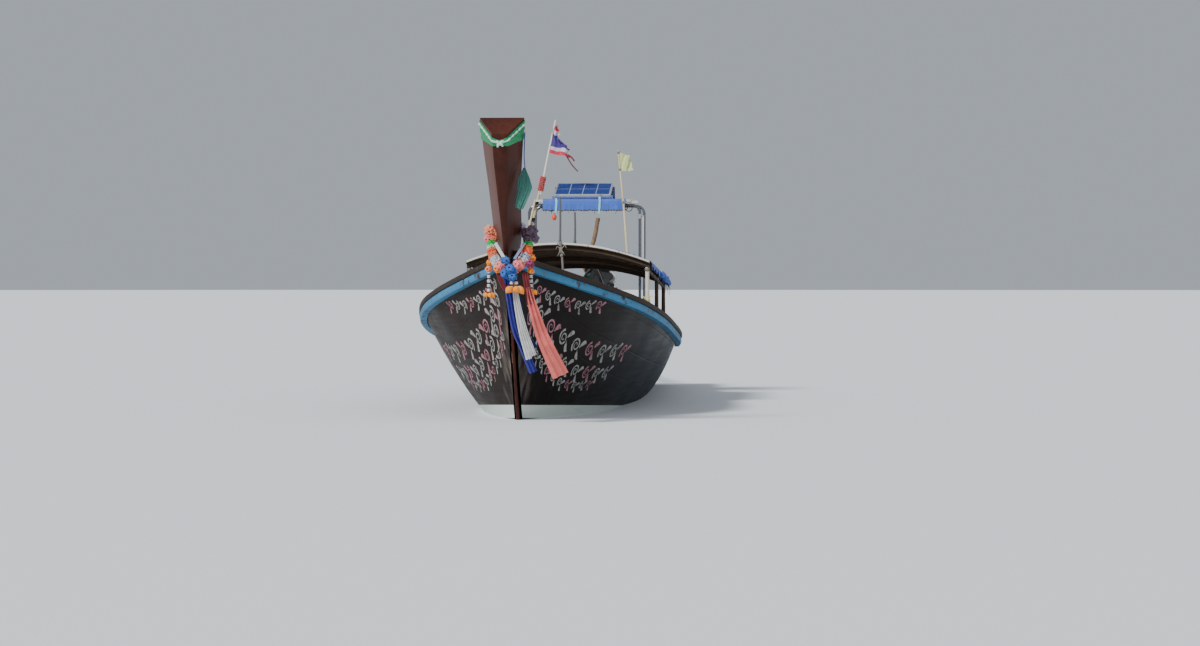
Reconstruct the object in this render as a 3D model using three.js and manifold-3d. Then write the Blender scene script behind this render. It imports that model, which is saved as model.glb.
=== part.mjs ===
// A wooden longtail boat: an open planked hull with a tall raked stem post, a low arched roof,
// a small raised canopy, and an engine on a swivel whose long tail carries the propeller.
// Millimetres, +Z up, the bow toward -Y, port toward +X. The origin is on the centreline at the
// waterline, halfway between the stem's waterline entry and the transom.
import * as THREE from 'three';
import { mergeVertices } from 'three/addons/utils/BufferGeometryUtils.js';
import Module from 'manifold-3d';

const wasm = await Module();
wasm.setup();

// Driving dimensions. Lengths along the boat are given as stations: millimetres aft of the
// point where the stem's leading edge meets the water.
const WATERLINE_LENGTH = 9600;
const PLANK = 34;
const GAP = 0.3;
// How far joined solids run into each other, and cuts past a face.
const LAP = 5;
// Sides of round bars, thin to thick.
const SIDES = { cord: 10, pole: 12, pipe: 16, drum: 24, bearing: 28 };
const KEEL_HALF = 30;
const RIB_DEPTH = 42;
const RIB_WIDTH = 60;
const RIB_STATIONS = [1500, 2133, 2766, 3400, 4033, 4666, 5300, 5933, 6566, 7200, 7833, 8466, 9100];
const DECK_THICKNESS = 28;
const FOREDECK = { from: -420, to: 2300, drop: 95 };
const STERN_DECK = { from: 8000, to: 9545, drop: 150 };
const FLOOR = { from: 2350, to: 7900, z: -175, thickness: 24 };
const THWARTS = { stations: [3750, 5100, 6240, 6950], depth: 260, top: 420, thickness: 36 };
const RUB_RAIL = { height: 62, width: 38 };
const CAP_RAIL = { height: 46, inboard: 78, outboard: 46 };
const LOW_ROOF = { from: 3700, to: 6190, half: 867, edge: 1318, rise: 170, fall: 0.069, thickness: 24 };
const ROOF_POSTS = { stations: [3750, 5100, 6150], half: 842, radius: 20 };
const ROOF_BEAM = { half: 863, width: 44, depth: 42 };
const ROOF_SIDE_RAIL = { below: 62, radius: 17, past: 20 };
const HOOPS = { stations: [6310, 6950], half: 560, top: 1930, radius: 15, bend: 95 };
// The canopy stands a little to port of the centreline, and so does the stem's dress.
const CANOPY_SHIFT = 35;
const DRESS_SHIFT = 25;
const BATTENS = { x: 400, width: 24, depth: 30, from: 6235, to: 7040, sunk: 8 };
const CROSS_BATTENS = { stations: [6290, 6970], half: 495, width: 28, depth: 20 };
const CANOPY = { half: 415, from: 6225, to: 7050, flap: 118, thickness: 6 };
const PANEL = { x: 12, half: 285, length: 420, thickness: 30, tilt: 17, station: 6480, rim: 12, recess: 9, lift: 78 };
const PANEL_LEGS = { past: 20, width: 28, at: 170, depth: 200, into: 4 };
const SWIVEL = { station: 8850, tiltZ: 850, slope: 9 };
const BITT = { station: 850, width: 90, above: 300, pinHalf: 150, pinRadius: 20, pinAt: 200 };
const DECK_BEAM = { width: 55, depth: 95 };
const KEEL = { below: 80, scarfStation: 600, scarfLow: -432, scarfHigh: -262 };
const KEELSON = { from: 1450, to: 9540, half: 70, top: -262 };
const TRANSOM = { from: 9560, to: 9600 };
const CRANK_Z = 150;
const TAIL_END = 3800;

const deg = Math.PI / 180;
const along = (station) => station - WATERLINE_LENGTH / 2;

// Hull lines, bow to stern: the keel line, the bilge control point and the sheer of each
// station. The keel, bilge and sheer columns have stations of their own because the bow rakes.
const lines = [
  { keelS: -760, keelZ: 1215, bilgeS: -775, bilgeHalf: 26, bilgeZ: 1290, sheerS: -800, sheerHalf: 40, sheerZ: 1372 },
  { keelS: -490, keelZ: 800, bilgeS: -450, bilgeHalf: 70, bilgeZ: 1010, sheerS: -430, sheerHalf: 160, sheerZ: 1295 },
  { keelS: -180, keelZ: 340, bilgeS: -100, bilgeHalf: 100, bilgeZ: 620, sheerS: -60, sheerHalf: 350, sheerZ: 1220 },
  { keelS: 70, keelZ: -10, bilgeS: 190, bilgeHalf: 150, bilgeZ: 270, sheerS: 320, sheerHalf: 550, sheerZ: 1140 },
  { keelS: 350, keelZ: -235, bilgeS: 500, bilgeHalf: 210, bilgeZ: 0, sheerS: 780, sheerHalf: 750, sheerZ: 1055 },
  { keelS: 900, keelZ: -325, bilgeS: 1050, bilgeHalf: 320, bilgeZ: -170, sheerS: 1380, sheerHalf: 940, sheerZ: 955 },
  { keelS: 1950, keelZ: -370, bilgeS: 2050, bilgeHalf: 460, bilgeZ: -295, sheerS: 2200, sheerHalf: 1065, sheerZ: 836 },
  { keelS: 3250, keelZ: -390, bilgeS: 3270, bilgeHalf: 560, bilgeZ: -310, sheerS: 3300, sheerHalf: 1100, sheerZ: 718 },
  { keelS: 4700, keelZ: -400, bilgeS: 4700, bilgeHalf: 645, bilgeZ: -300, sheerS: 4700, sheerHalf: 1068, sheerZ: 620 },
  { keelS: 6300, keelZ: -400, bilgeS: 6300, bilgeHalf: 650, bilgeZ: -280, sheerS: 6300, sheerHalf: 965, sheerZ: 558 },
  { keelS: 8000, keelZ: -390, bilgeS: 8000, bilgeHalf: 615, bilgeZ: -240, sheerS: 8000, sheerHalf: 855, sheerZ: 515 },
  { keelS: 9600, keelZ: -370, bilgeS: 9600, bilgeHalf: 545, bilgeZ: -237, sheerS: 9600, sheerHalf: 760, sheerZ: 500 },
];

// Stem post, keel to head: the front and back edges of the timber and its half-widths there.
const stemSections = [
  { frontS: 600, frontZ: -432, backS: 600, backZ: -262, frontHalf: 20, backHalf: 29.7 },
  { frontS: 330, frontZ: -372, backS: 480, backZ: -160, frontHalf: 13, backHalf: 29.7 },
  { frontS: 140, frontZ: -210, backS: 370, backZ: 20, frontHalf: 11, backHalf: 29.7 },
  { frontS: 0, frontZ: 0, backS: 260, backZ: 170, frontHalf: 11, backHalf: 29.7 },
  { frontS: -235, frontZ: 400, backS: 30, backZ: 530, frontHalf: 11, backHalf: 29.7 },
  { frontS: -520, frontZ: 850, backS: -270, backZ: 970, frontHalf: 11, backHalf: 29.7 },
  { frontS: -745, frontZ: 1160, backS: -510, backZ: 1275, frontHalf: 12, backHalf: 52 },
  { frontS: -880, frontZ: 1345, backS: -660, backZ: 1450, frontHalf: 15, backHalf: 96 },
  { frontS: -985, frontZ: 1500, backS: -775, backZ: 1590, frontHalf: 20, backHalf: 117 },
  { frontS: -1190, frontZ: 1830, backS: -985, backZ: 1905, frontHalf: 35, backHalf: 133 },
  { frontS: -1330, frontZ: 2120, backS: -1120, backZ: 2190, frontHalf: 53, backHalf: 158 },
  { frontS: -1415, frontZ: 2350, backS: -1215, backZ: 2490, frontHalf: 61, backHalf: 184 },
];

// Finishes
const finish = {
  darkWood: { color: 0x2a1f1a, roughness: 0.55, metalness: 0 },
  stemWood: { color: 0x4a3028, roughness: 0.6, metalness: 0 },
  innerWood: { color: 0x7a5a3c, roughness: 0.8, metalness: 0 },
  deckWood: { color: 0x6b5138, roughness: 0.85, metalness: 0 },
  blueRail: { color: 0x6f9fc4, roughness: 0.6, metalness: 0 },
  creamRoof: { color: 0xd9d4c4, roughness: 0.7, metalness: 0 },
  brownFrame: { color: 0x3b2a20, roughness: 0.8, metalness: 0 },
  steel: { color: 0xb9bcc0, roughness: 0.3, metalness: 0.9 },
  paleTimber: { color: 0xd2c6a8, roughness: 0.8, metalness: 0 },
  tarp: { color: 0x3c64be, roughness: 0.75, metalness: 0 },
  aluminium: { color: 0xc4c7ca, roughness: 0.4, metalness: 0.8 },
  cell: { color: 0x1a2240, roughness: 0.2, metalness: 0.1 },
  iron: { color: 0x54504a, roughness: 0.65, metalness: 0.6 },
  enginePaint: { color: 0x3f5a4a, roughness: 0.5, metalness: 0.3 },
  rust: { color: 0x7a5a3e, roughness: 0.85, metalness: 0.3 },
  black: { color: 0x1c1c1e, roughness: 0.6, metalness: 0 },
  brass: { color: 0xb08a45, roughness: 0.4, metalness: 0.9 },
  green: { color: 0x14a050, roughness: 0.8, metalness: 0 },
  teal: { color: 0x418782, roughness: 0.85, metalness: 0 },
  blue: { color: 0x3c3cd2, roughness: 0.8, metalness: 0 },
  white: { color: 0xd8d8d2, roughness: 0.85, metalness: 0 },
  coral: { color: 0xfa6e6e, roughness: 0.8, metalness: 0 },
  pink: { color: 0xd76a9a, roughness: 0.85, metalness: 0 },
  paleGreen: { color: 0xc9cf9a, roughness: 0.85, metalness: 0 },
};

// Solids
function solid(geometry) {
  const bare = new THREE.BufferGeometry();
  bare.setAttribute('position', geometry.getAttribute('position').clone());
  if (geometry.index) bare.setIndex(geometry.index.clone());
  const welded = mergeVertices(bare, 1e-3);
  const vertProperties = new Float32Array(welded.getAttribute('position').array);
  const triVerts = new Uint32Array(welded.index.array);
  return new wasm.Manifold(new wasm.Mesh({ numProp: 3, vertProperties, triVerts }));
}

function toGeometry(body) {
  const mesh = body.getMesh();
  const geometry = new THREE.BufferGeometry();
  geometry.setAttribute('position', new THREE.BufferAttribute(new Float32Array(mesh.vertProperties), 3));
  geometry.setIndex(new THREE.BufferAttribute(new Uint32Array(mesh.triVerts), 1));
  return geometry;
}

const join = (bodies) => bodies.reduce((whole, body) => whole.add(body));

// A body through rings of points that all have the same count. Open runs get a cap at each
// end; a closed run joins its last ring to its first.
function loft(rings, closed = false) {
  const count = rings[0].length;
  const positions = rings.flat().flatMap((point) => [point.x, point.y, point.z]);
  const index = [];
  const spans = closed ? rings.length : rings.length - 1;
  for (let i = 0; i < spans; i += 1) {
    const here = i * count;
    const next = ((i + 1) % rings.length) * count;
    for (let j = 0; j < count; j += 1) {
      const k = (j + 1) % count;
      index.push(here + j, next + j, next + k);
      index.push(here + j, next + k, here + k);
    }
  }
  if (!closed) {
    const ends = [rings[0], rings[rings.length - 1]];
    ends.forEach((ring, end) => {
      const centre = ring.reduce((sum, point) => sum.add(point), new THREE.Vector3()).divideScalar(count);
      const hub = positions.length / 3;
      positions.push(centre.x, centre.y, centre.z);
      const start = end === 0 ? 0 : (rings.length - 1) * count;
      for (let j = 0; j < count; j += 1) {
        const k = (j + 1) % count;
        if (end === 0) index.push(hub, start + j, start + k);
        else index.push(hub, start + k, start + j);
      }
    });
  }
  if (signedVolume(positions, index) < 0) index.reverse();
  const geometry = new THREE.BufferGeometry();
  geometry.setAttribute('position', new THREE.BufferAttribute(new Float32Array(positions), 3));
  geometry.setIndex(index);
  return solid(geometry);
}

function signedVolume(positions, index) {
  const corner = (i) => new THREE.Vector3().fromArray(positions, index[i] * 3);
  let volume = 0;
  for (let i = 0; i < index.length; i += 3) {
    volume += corner(i).dot(corner(i + 1).cross(corner(i + 2))) / 6;
  }
  return volume;
}

function box(x0, x1, y0, y1, z0, z1) {
  const geometry = new THREE.BoxGeometry(x1 - x0, y1 - y0, z1 - z0);
  geometry.translate((x0 + x1) / 2, (y0 + y1) / 2, (z0 + z1) / 2);
  return solid(geometry);
}

// A round bar between two points, with its own radius at each end.
function bar(from, to, radius, endRadius = radius, sides = 16) {
  const start = new THREE.Vector3(...from);
  const end = new THREE.Vector3(...to);
  const geometry = new THREE.CylinderGeometry(endRadius, radius, start.distanceTo(end), sides);
  const turn = new THREE.Quaternion();
  turn.setFromUnitVectors(new THREE.Vector3(0, 1, 0), end.clone().sub(start).normalize());
  geometry.applyQuaternion(turn);
  geometry.translate(...start.add(end).multiplyScalar(0.5).toArray());
  return solid(geometry);
}

// A round pipe along a smooth curve through points.
function pipe(points, radius, steps = 24, sides = 12) {
  const path = new THREE.CatmullRomCurve3(points.map((p) => new THREE.Vector3(...p)), false, 'centripetal');
  const section = new THREE.Shape();
  section.absarc(0, 0, radius, 0, 2 * Math.PI);
  return solid(new THREE.ExtrudeGeometry(section, { steps, extrudePath: path, curveSegments: sides / 4 }));
}

// A flat plate from an outline in the X-Z plane, between two stations.
function plateXZ(outline, y0, y1) {
  const shape = new THREE.Shape(outline.map(([x, z]) => new THREE.Vector2(x, z)));
  const geometry = new THREE.ExtrudeGeometry(shape, { depth: y1 - y0, bevelEnabled: false });
  geometry.rotateX(Math.PI / 2);
  geometry.translate(0, y1, 0);
  return solid(geometry);
}

// A flat plate from an outline in the Y-Z plane, between two values of X.
function plateYZ(outline, x0, x1) {
  const shape = new THREE.Shape(outline.map(([y, z]) => new THREE.Vector2(y, z)));
  const geometry = new THREE.ExtrudeGeometry(shape, { depth: x1 - x0, bevelEnabled: false });
  geometry.rotateX(Math.PI / 2);
  geometry.rotateZ(Math.PI / 2);
  geometry.translate(x0, 0, 0);
  return solid(geometry);
}

// Hull surfaces
const lineCurve = (pick) => new THREE.CatmullRomCurve3(lines.map(pick), false, 'catmullrom', 0.5);
const keelCurve = lineCurve((row) => new THREE.Vector3(0, along(row.keelS), row.keelZ));
const bilgeCurve = lineCurve((row) => new THREE.Vector3(row.bilgeHalf, along(row.bilgeS), row.bilgeZ));
const sheerCurve = lineCurve((row) => new THREE.Vector3(row.sheerHalf, along(row.sheerS), row.sheerZ));

// One cross-section of the hull, moved in from the outer face by inset and carried up past
// the sheer by rise, as points from the port top round the keel to the starboard top.
function section(t, inset, rise) {
  const keel = keelCurve.getPoint(t);
  keel.z += inset * 1.2;
  keel.y += inset;
  const bilge = bilgeCurve.getPoint(t);
  bilge.x -= inset;
  bilge.z += inset * 0.8;
  const sheer = sheerCurve.getPoint(t);
  sheer.x -= inset;
  const side = new THREE.QuadraticBezierCurve3(keel, bilge, sheer).getPoints(6);
  if (rise > 0) {
    const flare = (sheer.x - bilge.x) / (sheer.z - bilge.z);
    side.push(new THREE.Vector3(sheer.x + flare * rise, sheer.y, sheer.z + rise));
  }
  const port = side.slice().reverse();
  const starboard = side.slice(1).map((point) => new THREE.Vector3(-point.x, point.y, point.z));
  return [...port, ...starboard];
}

function hullBody(inset, rise, firstT, lastStation) {
  const steps = 26;
  const rings = [];
  for (let i = 0; i <= steps; i += 1) {
    rings.push(section(firstT + ((1 - firstT) * i) / steps, inset, rise));
  }
  const last = rings[rings.length - 1].map((point) => new THREE.Vector3(point.x, along(lastStation), point.z));
  if (lastStation > WATERLINE_LENGTH) rings.push(last);
  return loft(rings);
}

const hollowStart = 1.15 / (lines.length - 1);
const hollow = (inset) => hullBody(inset, 400, hollowStart, WATERLINE_LENGTH + 200);

// The sheer's half-breadth and height at a station.
function sheerAt(station) {
  let low = 0;
  let high = 1;
  for (let i = 0; i < 40; i += 1) {
    const middle = (low + high) / 2;
    if (sheerCurve.getPoint(middle).y < along(station)) low = middle;
    else high = middle;
  }
  return sheerCurve.getPoint(low);
}

// The stem post, grown by a clearance where it cuts its neighbours.
function stemBody(grow = 0) {
  const rings = stemSections.map((row) => {
    const front = { half: row.frontHalf + grow, y: along(row.frontS) - grow, z: row.frontZ };
    const back = { half: row.backHalf + grow, y: along(row.backS) + grow, z: row.backZ };
    return [
      new THREE.Vector3(-front.half, front.y, front.z),
      new THREE.Vector3(front.half, front.y, front.z),
      new THREE.Vector3(back.half, back.y, back.z),
      new THREE.Vector3(-back.half, back.y, back.z),
    ];
  });
  return loft(rings);
}

const FAR = 9000;
const stemCut = stemBody(GAP);
const hullCut = hullBody(-GAP, GAP, 0, WATERLINE_LENGTH);
const hullInside = hollow(PLANK + GAP);
const ribInside = hollow(PLANK + RIB_DEPTH + GAP);

function planking(side) {
  const shell = hullBody(0, 0, 0, WATERLINE_LENGTH).subtract(hollow(PLANK));
  const half = side > 0 ? box(KEEL_HALF, FAR, -FAR, FAR, -FAR, FAR) : box(-FAR, -KEEL_HALF, -FAR, FAR, -FAR, FAR);
  const beforeTransom = box(-FAR, FAR, -FAR, along(TRANSOM.from) - GAP, -FAR, FAR);
  return shell.intersect(half).intersect(beforeTransom).subtract(stemCut);
}

function keelBody() {
  const bottom = [];
  const top = [];
  for (let i = 0; i <= 20; i += 1) {
    const t = 5 / 11 + ((6 / 11) * i) / 20;
    const point = keelCurve.getPoint(t);
    bottom.push([point.y, point.z - KEEL.below]);
    top.push([point.y, point.z + PLANK * 1.2 - 2]);
  }
  const front = along(KEEL.scarfStation) + GAP;
  const outline = [[front, KEEL.scarfHigh], [front, KEEL.scarfLow], ...bottom, ...top.reverse()];
  const slab = plateYZ(outline, -KEEL_HALF + GAP, KEEL_HALF - GAP);
  return slab.intersect(box(-FAR, FAR, front, along(TRANSOM.from) - GAP, -FAR, FAR));
}

function transomBody() {
  const rings = [TRANSOM.from, TRANSOM.to].map((station) => {
    return section(1, 0, 0).map((point) => new THREE.Vector3(point.x, along(station), point.z));
  });
  return loft(rings);
}

// Ribs, each bent from one timber inside the planks, joined along the bottom by the keelson.
function framesBody() {
  const shell = hullInside.subtract(ribInside);
  const ribs = RIB_STATIONS.map((station) => {
    const sheer = sheerAt(station + RIB_WIDTH);
    const underDeck = [FOREDECK, STERN_DECK].find((deck) => station > deck.from - RIB_WIDTH && station < deck.to);
    const top = sheer.z - (underDeck ? underDeck.drop + DECK_THICKNESS + GAP + 2 : GAP + 2);
    return shell.intersect(box(-FAR, FAR, along(station), along(station) + RIB_WIDTH, -FAR, top));
  });
  const { from, to, half, top: keelsonTop } = KEELSON;
  const keelson = hullInside.intersect(box(-half, half, along(from), along(to), -FAR, keelsonTop));
  return join([keelson, ...ribs]);
}

// A slab whose height follows the sheer, lifted above the deck's own height by lift.
function deckSlab(deck, thickness, lift) {
  const rings = [];
  const steps = 10;
  for (let i = 0; i <= steps; i += 1) {
    const station = deck.from + ((deck.to - deck.from) * i) / steps;
    const top = sheerAt(station).z - deck.drop + lift;
    rings.push([
      new THREE.Vector3(-1600, along(station), top - thickness),
      new THREE.Vector3(1600, along(station), top - thickness),
      new THREE.Vector3(1600, along(station), top),
      new THREE.Vector3(-1600, along(station), top),
    ]);
  }
  return loft(rings);
}

const deckBody = (deck) => deckSlab(deck, DECK_THICKNESS, 0).intersect(hullInside).subtract(stemCut);

function deckBeam(deck, station) {
  const { width, depth } = DECK_BEAM;
  const top = sheerAt(station + width).z - deck.drop - DECK_THICKNESS - GAP - 2;
  return hullInside.intersect(box(-FAR, FAR, along(station), along(station) + width, top - depth, top));
}

function thwartBody(station) {
  const { depth, top, thickness } = THWARTS;
  const y = along(station);
  return hullInside.intersect(box(-FAR, FAR, y - depth / 2, y + depth / 2, top - thickness, top));
}

// A rail along the sheer of one side: a four-sided section set off square to the plan curve.
function railBody(side, corners) {
  const rings = [];
  for (let i = 0; i <= 30; i += 1) {
    const t = i / 30;
    const sheer = sheerCurve.getPoint(t);
    const run = sheerCurve.getTangent(t);
    const out = new THREE.Vector2(run.y, -run.x).normalize();
    rings.push(corners(t).map(([off, z]) => {
      return new THREE.Vector3(side * (sheer.x + out.x * off), sheer.y + out.y * off, sheer.z + z);
    }));
  }
  const half = side > 0 ? box(GAP, FAR, -FAR, FAR, -FAR, FAR) : box(-FAR, -GAP, -FAR, FAR, -FAR, FAR);
  return loft(rings).intersect(half).subtract(hullCut).subtract(stemCut);
}

function rubCorners(t) {
  const bilge = bilgeCurve.getPoint(t);
  const sheer = sheerCurve.getPoint(t);
  const flare = (sheer.x - bilge.x) / (sheer.z - bilge.z);
  const { height, width } = RUB_RAIL;
  const lowerIn = -height * flare * 0.85 + 3;
  return [[lowerIn, -height], [width, -height], [width, -1], [1.2, -1]];
}

function capCorners(grow = 0) {
  const { height, inboard, outboard } = CAP_RAIL;
  const [inner, outer, top] = [-inboard - grow, outboard + grow, height + grow];
  return [[inner, GAP], [outer, GAP], [outer, top], [inner, top]];
}

// Low roof
const roofUnder = (x, station) => {
  const { edge, rise, half, from, fall } = LOW_ROOF;
  return edge + rise * (1 - (x / half) ** 2) - fall * (station - from);
};

// An arched strip across the boat between two stations, its faces low and high below or above
// the roof's underside.
function arch(half, from, to, low, high) {
  const steps = 12;
  const rings = [];
  for (let i = 0; i <= steps; i += 1) {
    const x = -half + (2 * half * i) / steps;
    rings.push([
      new THREE.Vector3(x, along(from), roofUnder(x, from) + low),
      new THREE.Vector3(x, along(from), roofUnder(x, from) + high),
      new THREE.Vector3(x, along(to), roofUnder(x, to) + high),
      new THREE.Vector3(x, along(to), roofUnder(x, to) + low),
    ]);
  }
  return loft(rings);
}

function roofFrameBody() {
  const { stations, half, radius } = ROOF_POSTS;
  const { half: beamHalf, width, depth } = ROOF_BEAM;
  const rail = ROOF_SIDE_RAIL;
  const bodies = [];
  stations.forEach((station) => {
    bodies.push(arch(beamHalf, station - width / 2, station + width / 2, -depth, 5));
    [-half, half].forEach((x) => {
      bodies.push(bar([x, along(station), THWARTS.top + GAP], [x, along(station), roofUnder(x, station) - 8], radius, radius, 10));
    });
  });
  const first = stations[0] - rail.past;
  const last = stations[stations.length - 1] + rail.past;
  [-half, half].forEach((x) => {
    const ends = [first, last].map((station) => [x, along(station), roofUnder(x, station) - rail.below]);
    bodies.push(bar(...ends, rail.radius, rail.radius, 10));
  });
  return join(bodies).subtract(arch(LOW_ROOF.half, LOW_ROOF.from - 50, LOW_ROOF.to + 50, -GAP, 100));
}

// Canopy hoops: a tube up one side, across with rounded corners, and down the other.
function hoopBody(station, grow = 0) {
  const { half, top, radius, bend } = HOOPS;
  const y = along(station);
  const foot = THWARTS.top + GAP;
  const across = top - radius;
  const path = new THREE.CurvePath();
  const at = (x, z) => new THREE.Vector3(x + CANOPY_SHIFT, y, z);
  path.add(new THREE.LineCurve3(at(-half, foot), at(-half, across - bend)));
  path.add(new THREE.QuadraticBezierCurve3(at(-half, across - bend), at(-half, across), at(-half + bend, across)));
  path.add(new THREE.LineCurve3(at(-half + bend, across), at(half - bend, across)));
  path.add(new THREE.QuadraticBezierCurve3(at(half - bend, across), at(half, across), at(half, across - bend)));
  path.add(new THREE.LineCurve3(at(half, across - bend), at(half, foot)));
  const shape = new THREE.Shape();
  shape.absarc(0, 0, radius + grow, 0, 2 * Math.PI);
  return solid(new THREE.ExtrudeGeometry(shape, { steps: 44, extrudePath: path, curveSegments: 3 }));
}

const hoopCuts = HOOPS.stations.map((station) => hoopBody(station, GAP));
const barLow = HOOPS.top - BATTENS.sunk;
const barTop = barLow + BATTENS.depth;
const crossTop = barTop + CROSS_BATTENS.depth;

function canopyFrameBody() {
  const bodies = [];
  const { x: reach, width, from, to } = BATTENS;
  [-reach, reach].forEach((x) => {
    bodies.push(box(x - width / 2, x + width / 2, along(from), along(to), barLow, barTop));
  });
  const cross = CROSS_BATTENS;
  cross.stations.forEach((station) => {
    const y = along(station);
    bodies.push(box(-cross.half, cross.half, y - cross.width / 2, y + cross.width / 2, barTop - 2, crossTop));
  });
  const battens = join(bodies).translate([CANOPY_SHIFT, 0, 0]);
  return hoopCuts.reduce((rest, cut) => rest.subtract(cut), battens);
}

function canopyTarpBody() {
  const { half, from, to, flap, thickness } = CANOPY;
  const low = crossTop + GAP;
  const sheetTop = low + thickness;
  const sheet = box(-half, half, along(from), along(to), low, sheetTop);
  const front = box(-half, half, along(from) - thickness, along(from), sheetTop - flap, sheetTop);
  return sheet.add(front).translate([CANOPY_SHIFT, 0, 0]);
}

const groups = { hull: new THREE.Group(), engine: new THREE.Group(), yoke: new THREE.Group() };
const boat = new THREE.Group();
boat.add(groups.hull, groups.yoke, groups.engine);

function node(name, body, look, group = groups.hull) {
  const mesh = new THREE.Mesh(toGeometry(body), new THREE.MeshStandardMaterial(look));
  mesh.name = name;
  group.add(mesh);
  return mesh;
}

// Hull
const sides = [{ word: 'port', side: 1 }, { word: 'starboard', side: -1 }];
sides.forEach(({ word, side }) => {
  node(`planking_${word}`, planking(side), finish.darkWood);
  node(`rub_rail_${word}`, railBody(side, rubCorners), finish.blueRail);
  node(`cap_rail_${word}`, railBody(side, () => capCorners()), finish.darkWood);
});
node('keel', keelBody(), finish.darkWood);
node('stem_post', stemBody(), finish.stemWood);
node('transom', transomBody(), finish.darkWood);
node('frames', framesBody(), finish.innerWood);
const floorInside = hollow(PLANK + RIB_DEPTH + 2 * GAP);
const floorTop = FLOOR.z + FLOOR.thickness;
const floorBlock = box(-FAR, FAR, along(FLOOR.from), along(FLOOR.to), FLOOR.z, floorTop);
node('floorboards', floorInside.intersect(floorBlock), finish.deckWood);
node('foredeck', deckBody(FOREDECK), finish.deckWood);
node('foredeck_beam', deckBeam(FOREDECK, 2240), finish.innerWood);
node('stern_deck', deckBody(STERN_DECK), finish.deckWood);
node('stern_deck_beam', deckBeam(STERN_DECK, 8005), finish.innerWood);
THWARTS.stations.forEach((station, i) => node(`thwart_${i + 1}`, thwartBody(station), finish.deckWood));

// Mooring bitt on the foredeck
function bittBody() {
  const { station, width, above, pinHalf, pinRadius, pinAt } = BITT;
  const y = along(station);
  const deckTop = sheerAt(station).z - FOREDECK.drop;
  const half = width / 2;
  const post = box(-half, half, y - half, y + half, deckTop - 100, deckTop + above);
  const pin = bar([-pinHalf, y, deckTop + pinAt], [pinHalf, y, deckTop + pinAt], pinRadius);
  return post.add(pin).subtract(deckSlab(FOREDECK, 200, GAP));
}
node('mooring_bitt', bittBody(), finish.innerWood);

// Low roof and canopy
node('low_roof', arch(LOW_ROOF.half, LOW_ROOF.from, LOW_ROOF.to, 0, LOW_ROOF.thickness), finish.creamRoof);
node('low_roof_frame', roofFrameBody(), finish.brownFrame);
HOOPS.stations.forEach((station, i) => node(`canopy_hoop_${i + 1}`, hoopBody(station), finish.steel));
node('canopy_battens', canopyFrameBody(), finish.paleTimber);
node('canopy_tarp', canopyTarpBody(), finish.tarp);

// The solar panel, tipped toward the bow: an aluminium tray on two legs, with the cells in it.
const tarpTop = crossTop + CANOPY.thickness + 2 * GAP;
const panelPlace = { x: PANEL.x, y: along(PANEL.station), z: tarpTop + PANEL.lift };
const panelGroup = new THREE.Group();
panelGroup.position.set(panelPlace.x, panelPlace.y, panelPlace.z);
panelGroup.rotation.x = PANEL.tilt * deg;
groups.hull.add(panelGroup);

function panelFrameBody() {
  const { half, length, thickness, rim, recess } = PANEL;
  const { past, width, at, depth, into } = PANEL_LEGS;
  const end = length / 2;
  const tray = box(-half, half, -end, end, 0, thickness);
  const well = box(-half + rim, half - rim, -end + rim, end - rim, thickness - recess, thickness + LAP);
  const legs = [-at, at].map((y) => box(-half - past, half + past, y - width / 2, y + width / 2, -depth, into));
  const belowTarpTop = box(-FAR, FAR, -FAR, FAR, -FAR, tarpTop);
  const { x, y, z } = panelPlace;
  const level = belowTarpTop.translate([-x, -y, -z]).rotate([-PANEL.tilt, 0, 0]);
  return join([tray.subtract(well), ...legs]).subtract(level);
}

function cellsBody() {
  const { half, length, thickness, rim, recess } = PANEL;
  const glassBelowRim = 3;
  const x = half - rim - GAP;
  const y = length / 2 - rim - GAP;
  return box(-x, x, -y, y, thickness - recess + GAP, thickness - glassBelowRim);
}
node('solar_panel_frame', panelFrameBody(), finish.aluminium, panelGroup);
node('solar_cells', cellsBody(), finish.cell, panelGroup);

const roofCut = arch(LOW_ROOF.half, LOW_ROOF.from - 50, LOW_ROOF.to + 50, -50, LOW_ROOF.thickness + GAP);

// Two thin poles on the crown of the low roof's front rim.
const ROOF_POLES = { fromRim: 30, radius: 11, headRadius: 9, poles: [{ x: 20, top: 1950 }, { x: 160, top: 1805 }] };
ROOF_POLES.poles.forEach(({ x, top }, i) => {
  const { fromRim, radius, headRadius } = ROOF_POLES;
  const station = LOW_ROOF.from + fromRim;
  const foot = [x, along(station), roofUnder(x, station) + LOW_ROOF.thickness / 2];
  const pole = bar(foot, [x, along(station), top], radius, headRadius, SIDES.cord);
  node(`roof_pole_${i + 1}`, pole.subtract(roofCut), finish.paleTimber);
});

// Flag poles: the striped flag's is lashed to the front hoop's starboard leg, the pale flag's
// stands on the low roof's port quarter. Each flag is an outline in x and z from its hoist.
const BAMBOO = { station: 6165, footX: 490, footSunk: LAP, headX: 385, headZ: 2466 };
const flags = [
  {
    name: 'striped',
    pole: 'flag_pole_striped',
    foot: [-555, 1480],
    head: [-262, 2776],
    station: HOOPS.stations[0] + HOOPS.radius + 10,
    radius: 13,
    headRadius: 9,
    poleCut: hoopCuts[0],
    look: finish.coral,
    outline: [[-273, 2728], [-250, 2712], [-222, 2645], [-238, 2585], [-165, 2535], [-120, 2480], [-132, 2430],
      [-105, 2395], [-336, 2448]],
  },
  {
    name: 'pale',
    pole: 'flag_pole_bamboo',
    foot: [BAMBOO.footX, roofUnder(BAMBOO.footX, BAMBOO.station) + BAMBOO.footSunk],
    head: [BAMBOO.headX, BAMBOO.headZ],
    station: BAMBOO.station,
    radius: 15,
    headRadius: 8,
    poleCut: roofCut,
    look: finish.paleGreen,
    outline: [[387, 2444], [499, 2411], [539, 2260], [404, 2252]],
  },
];
const FLAG_THICKNESS = 4;
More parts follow.
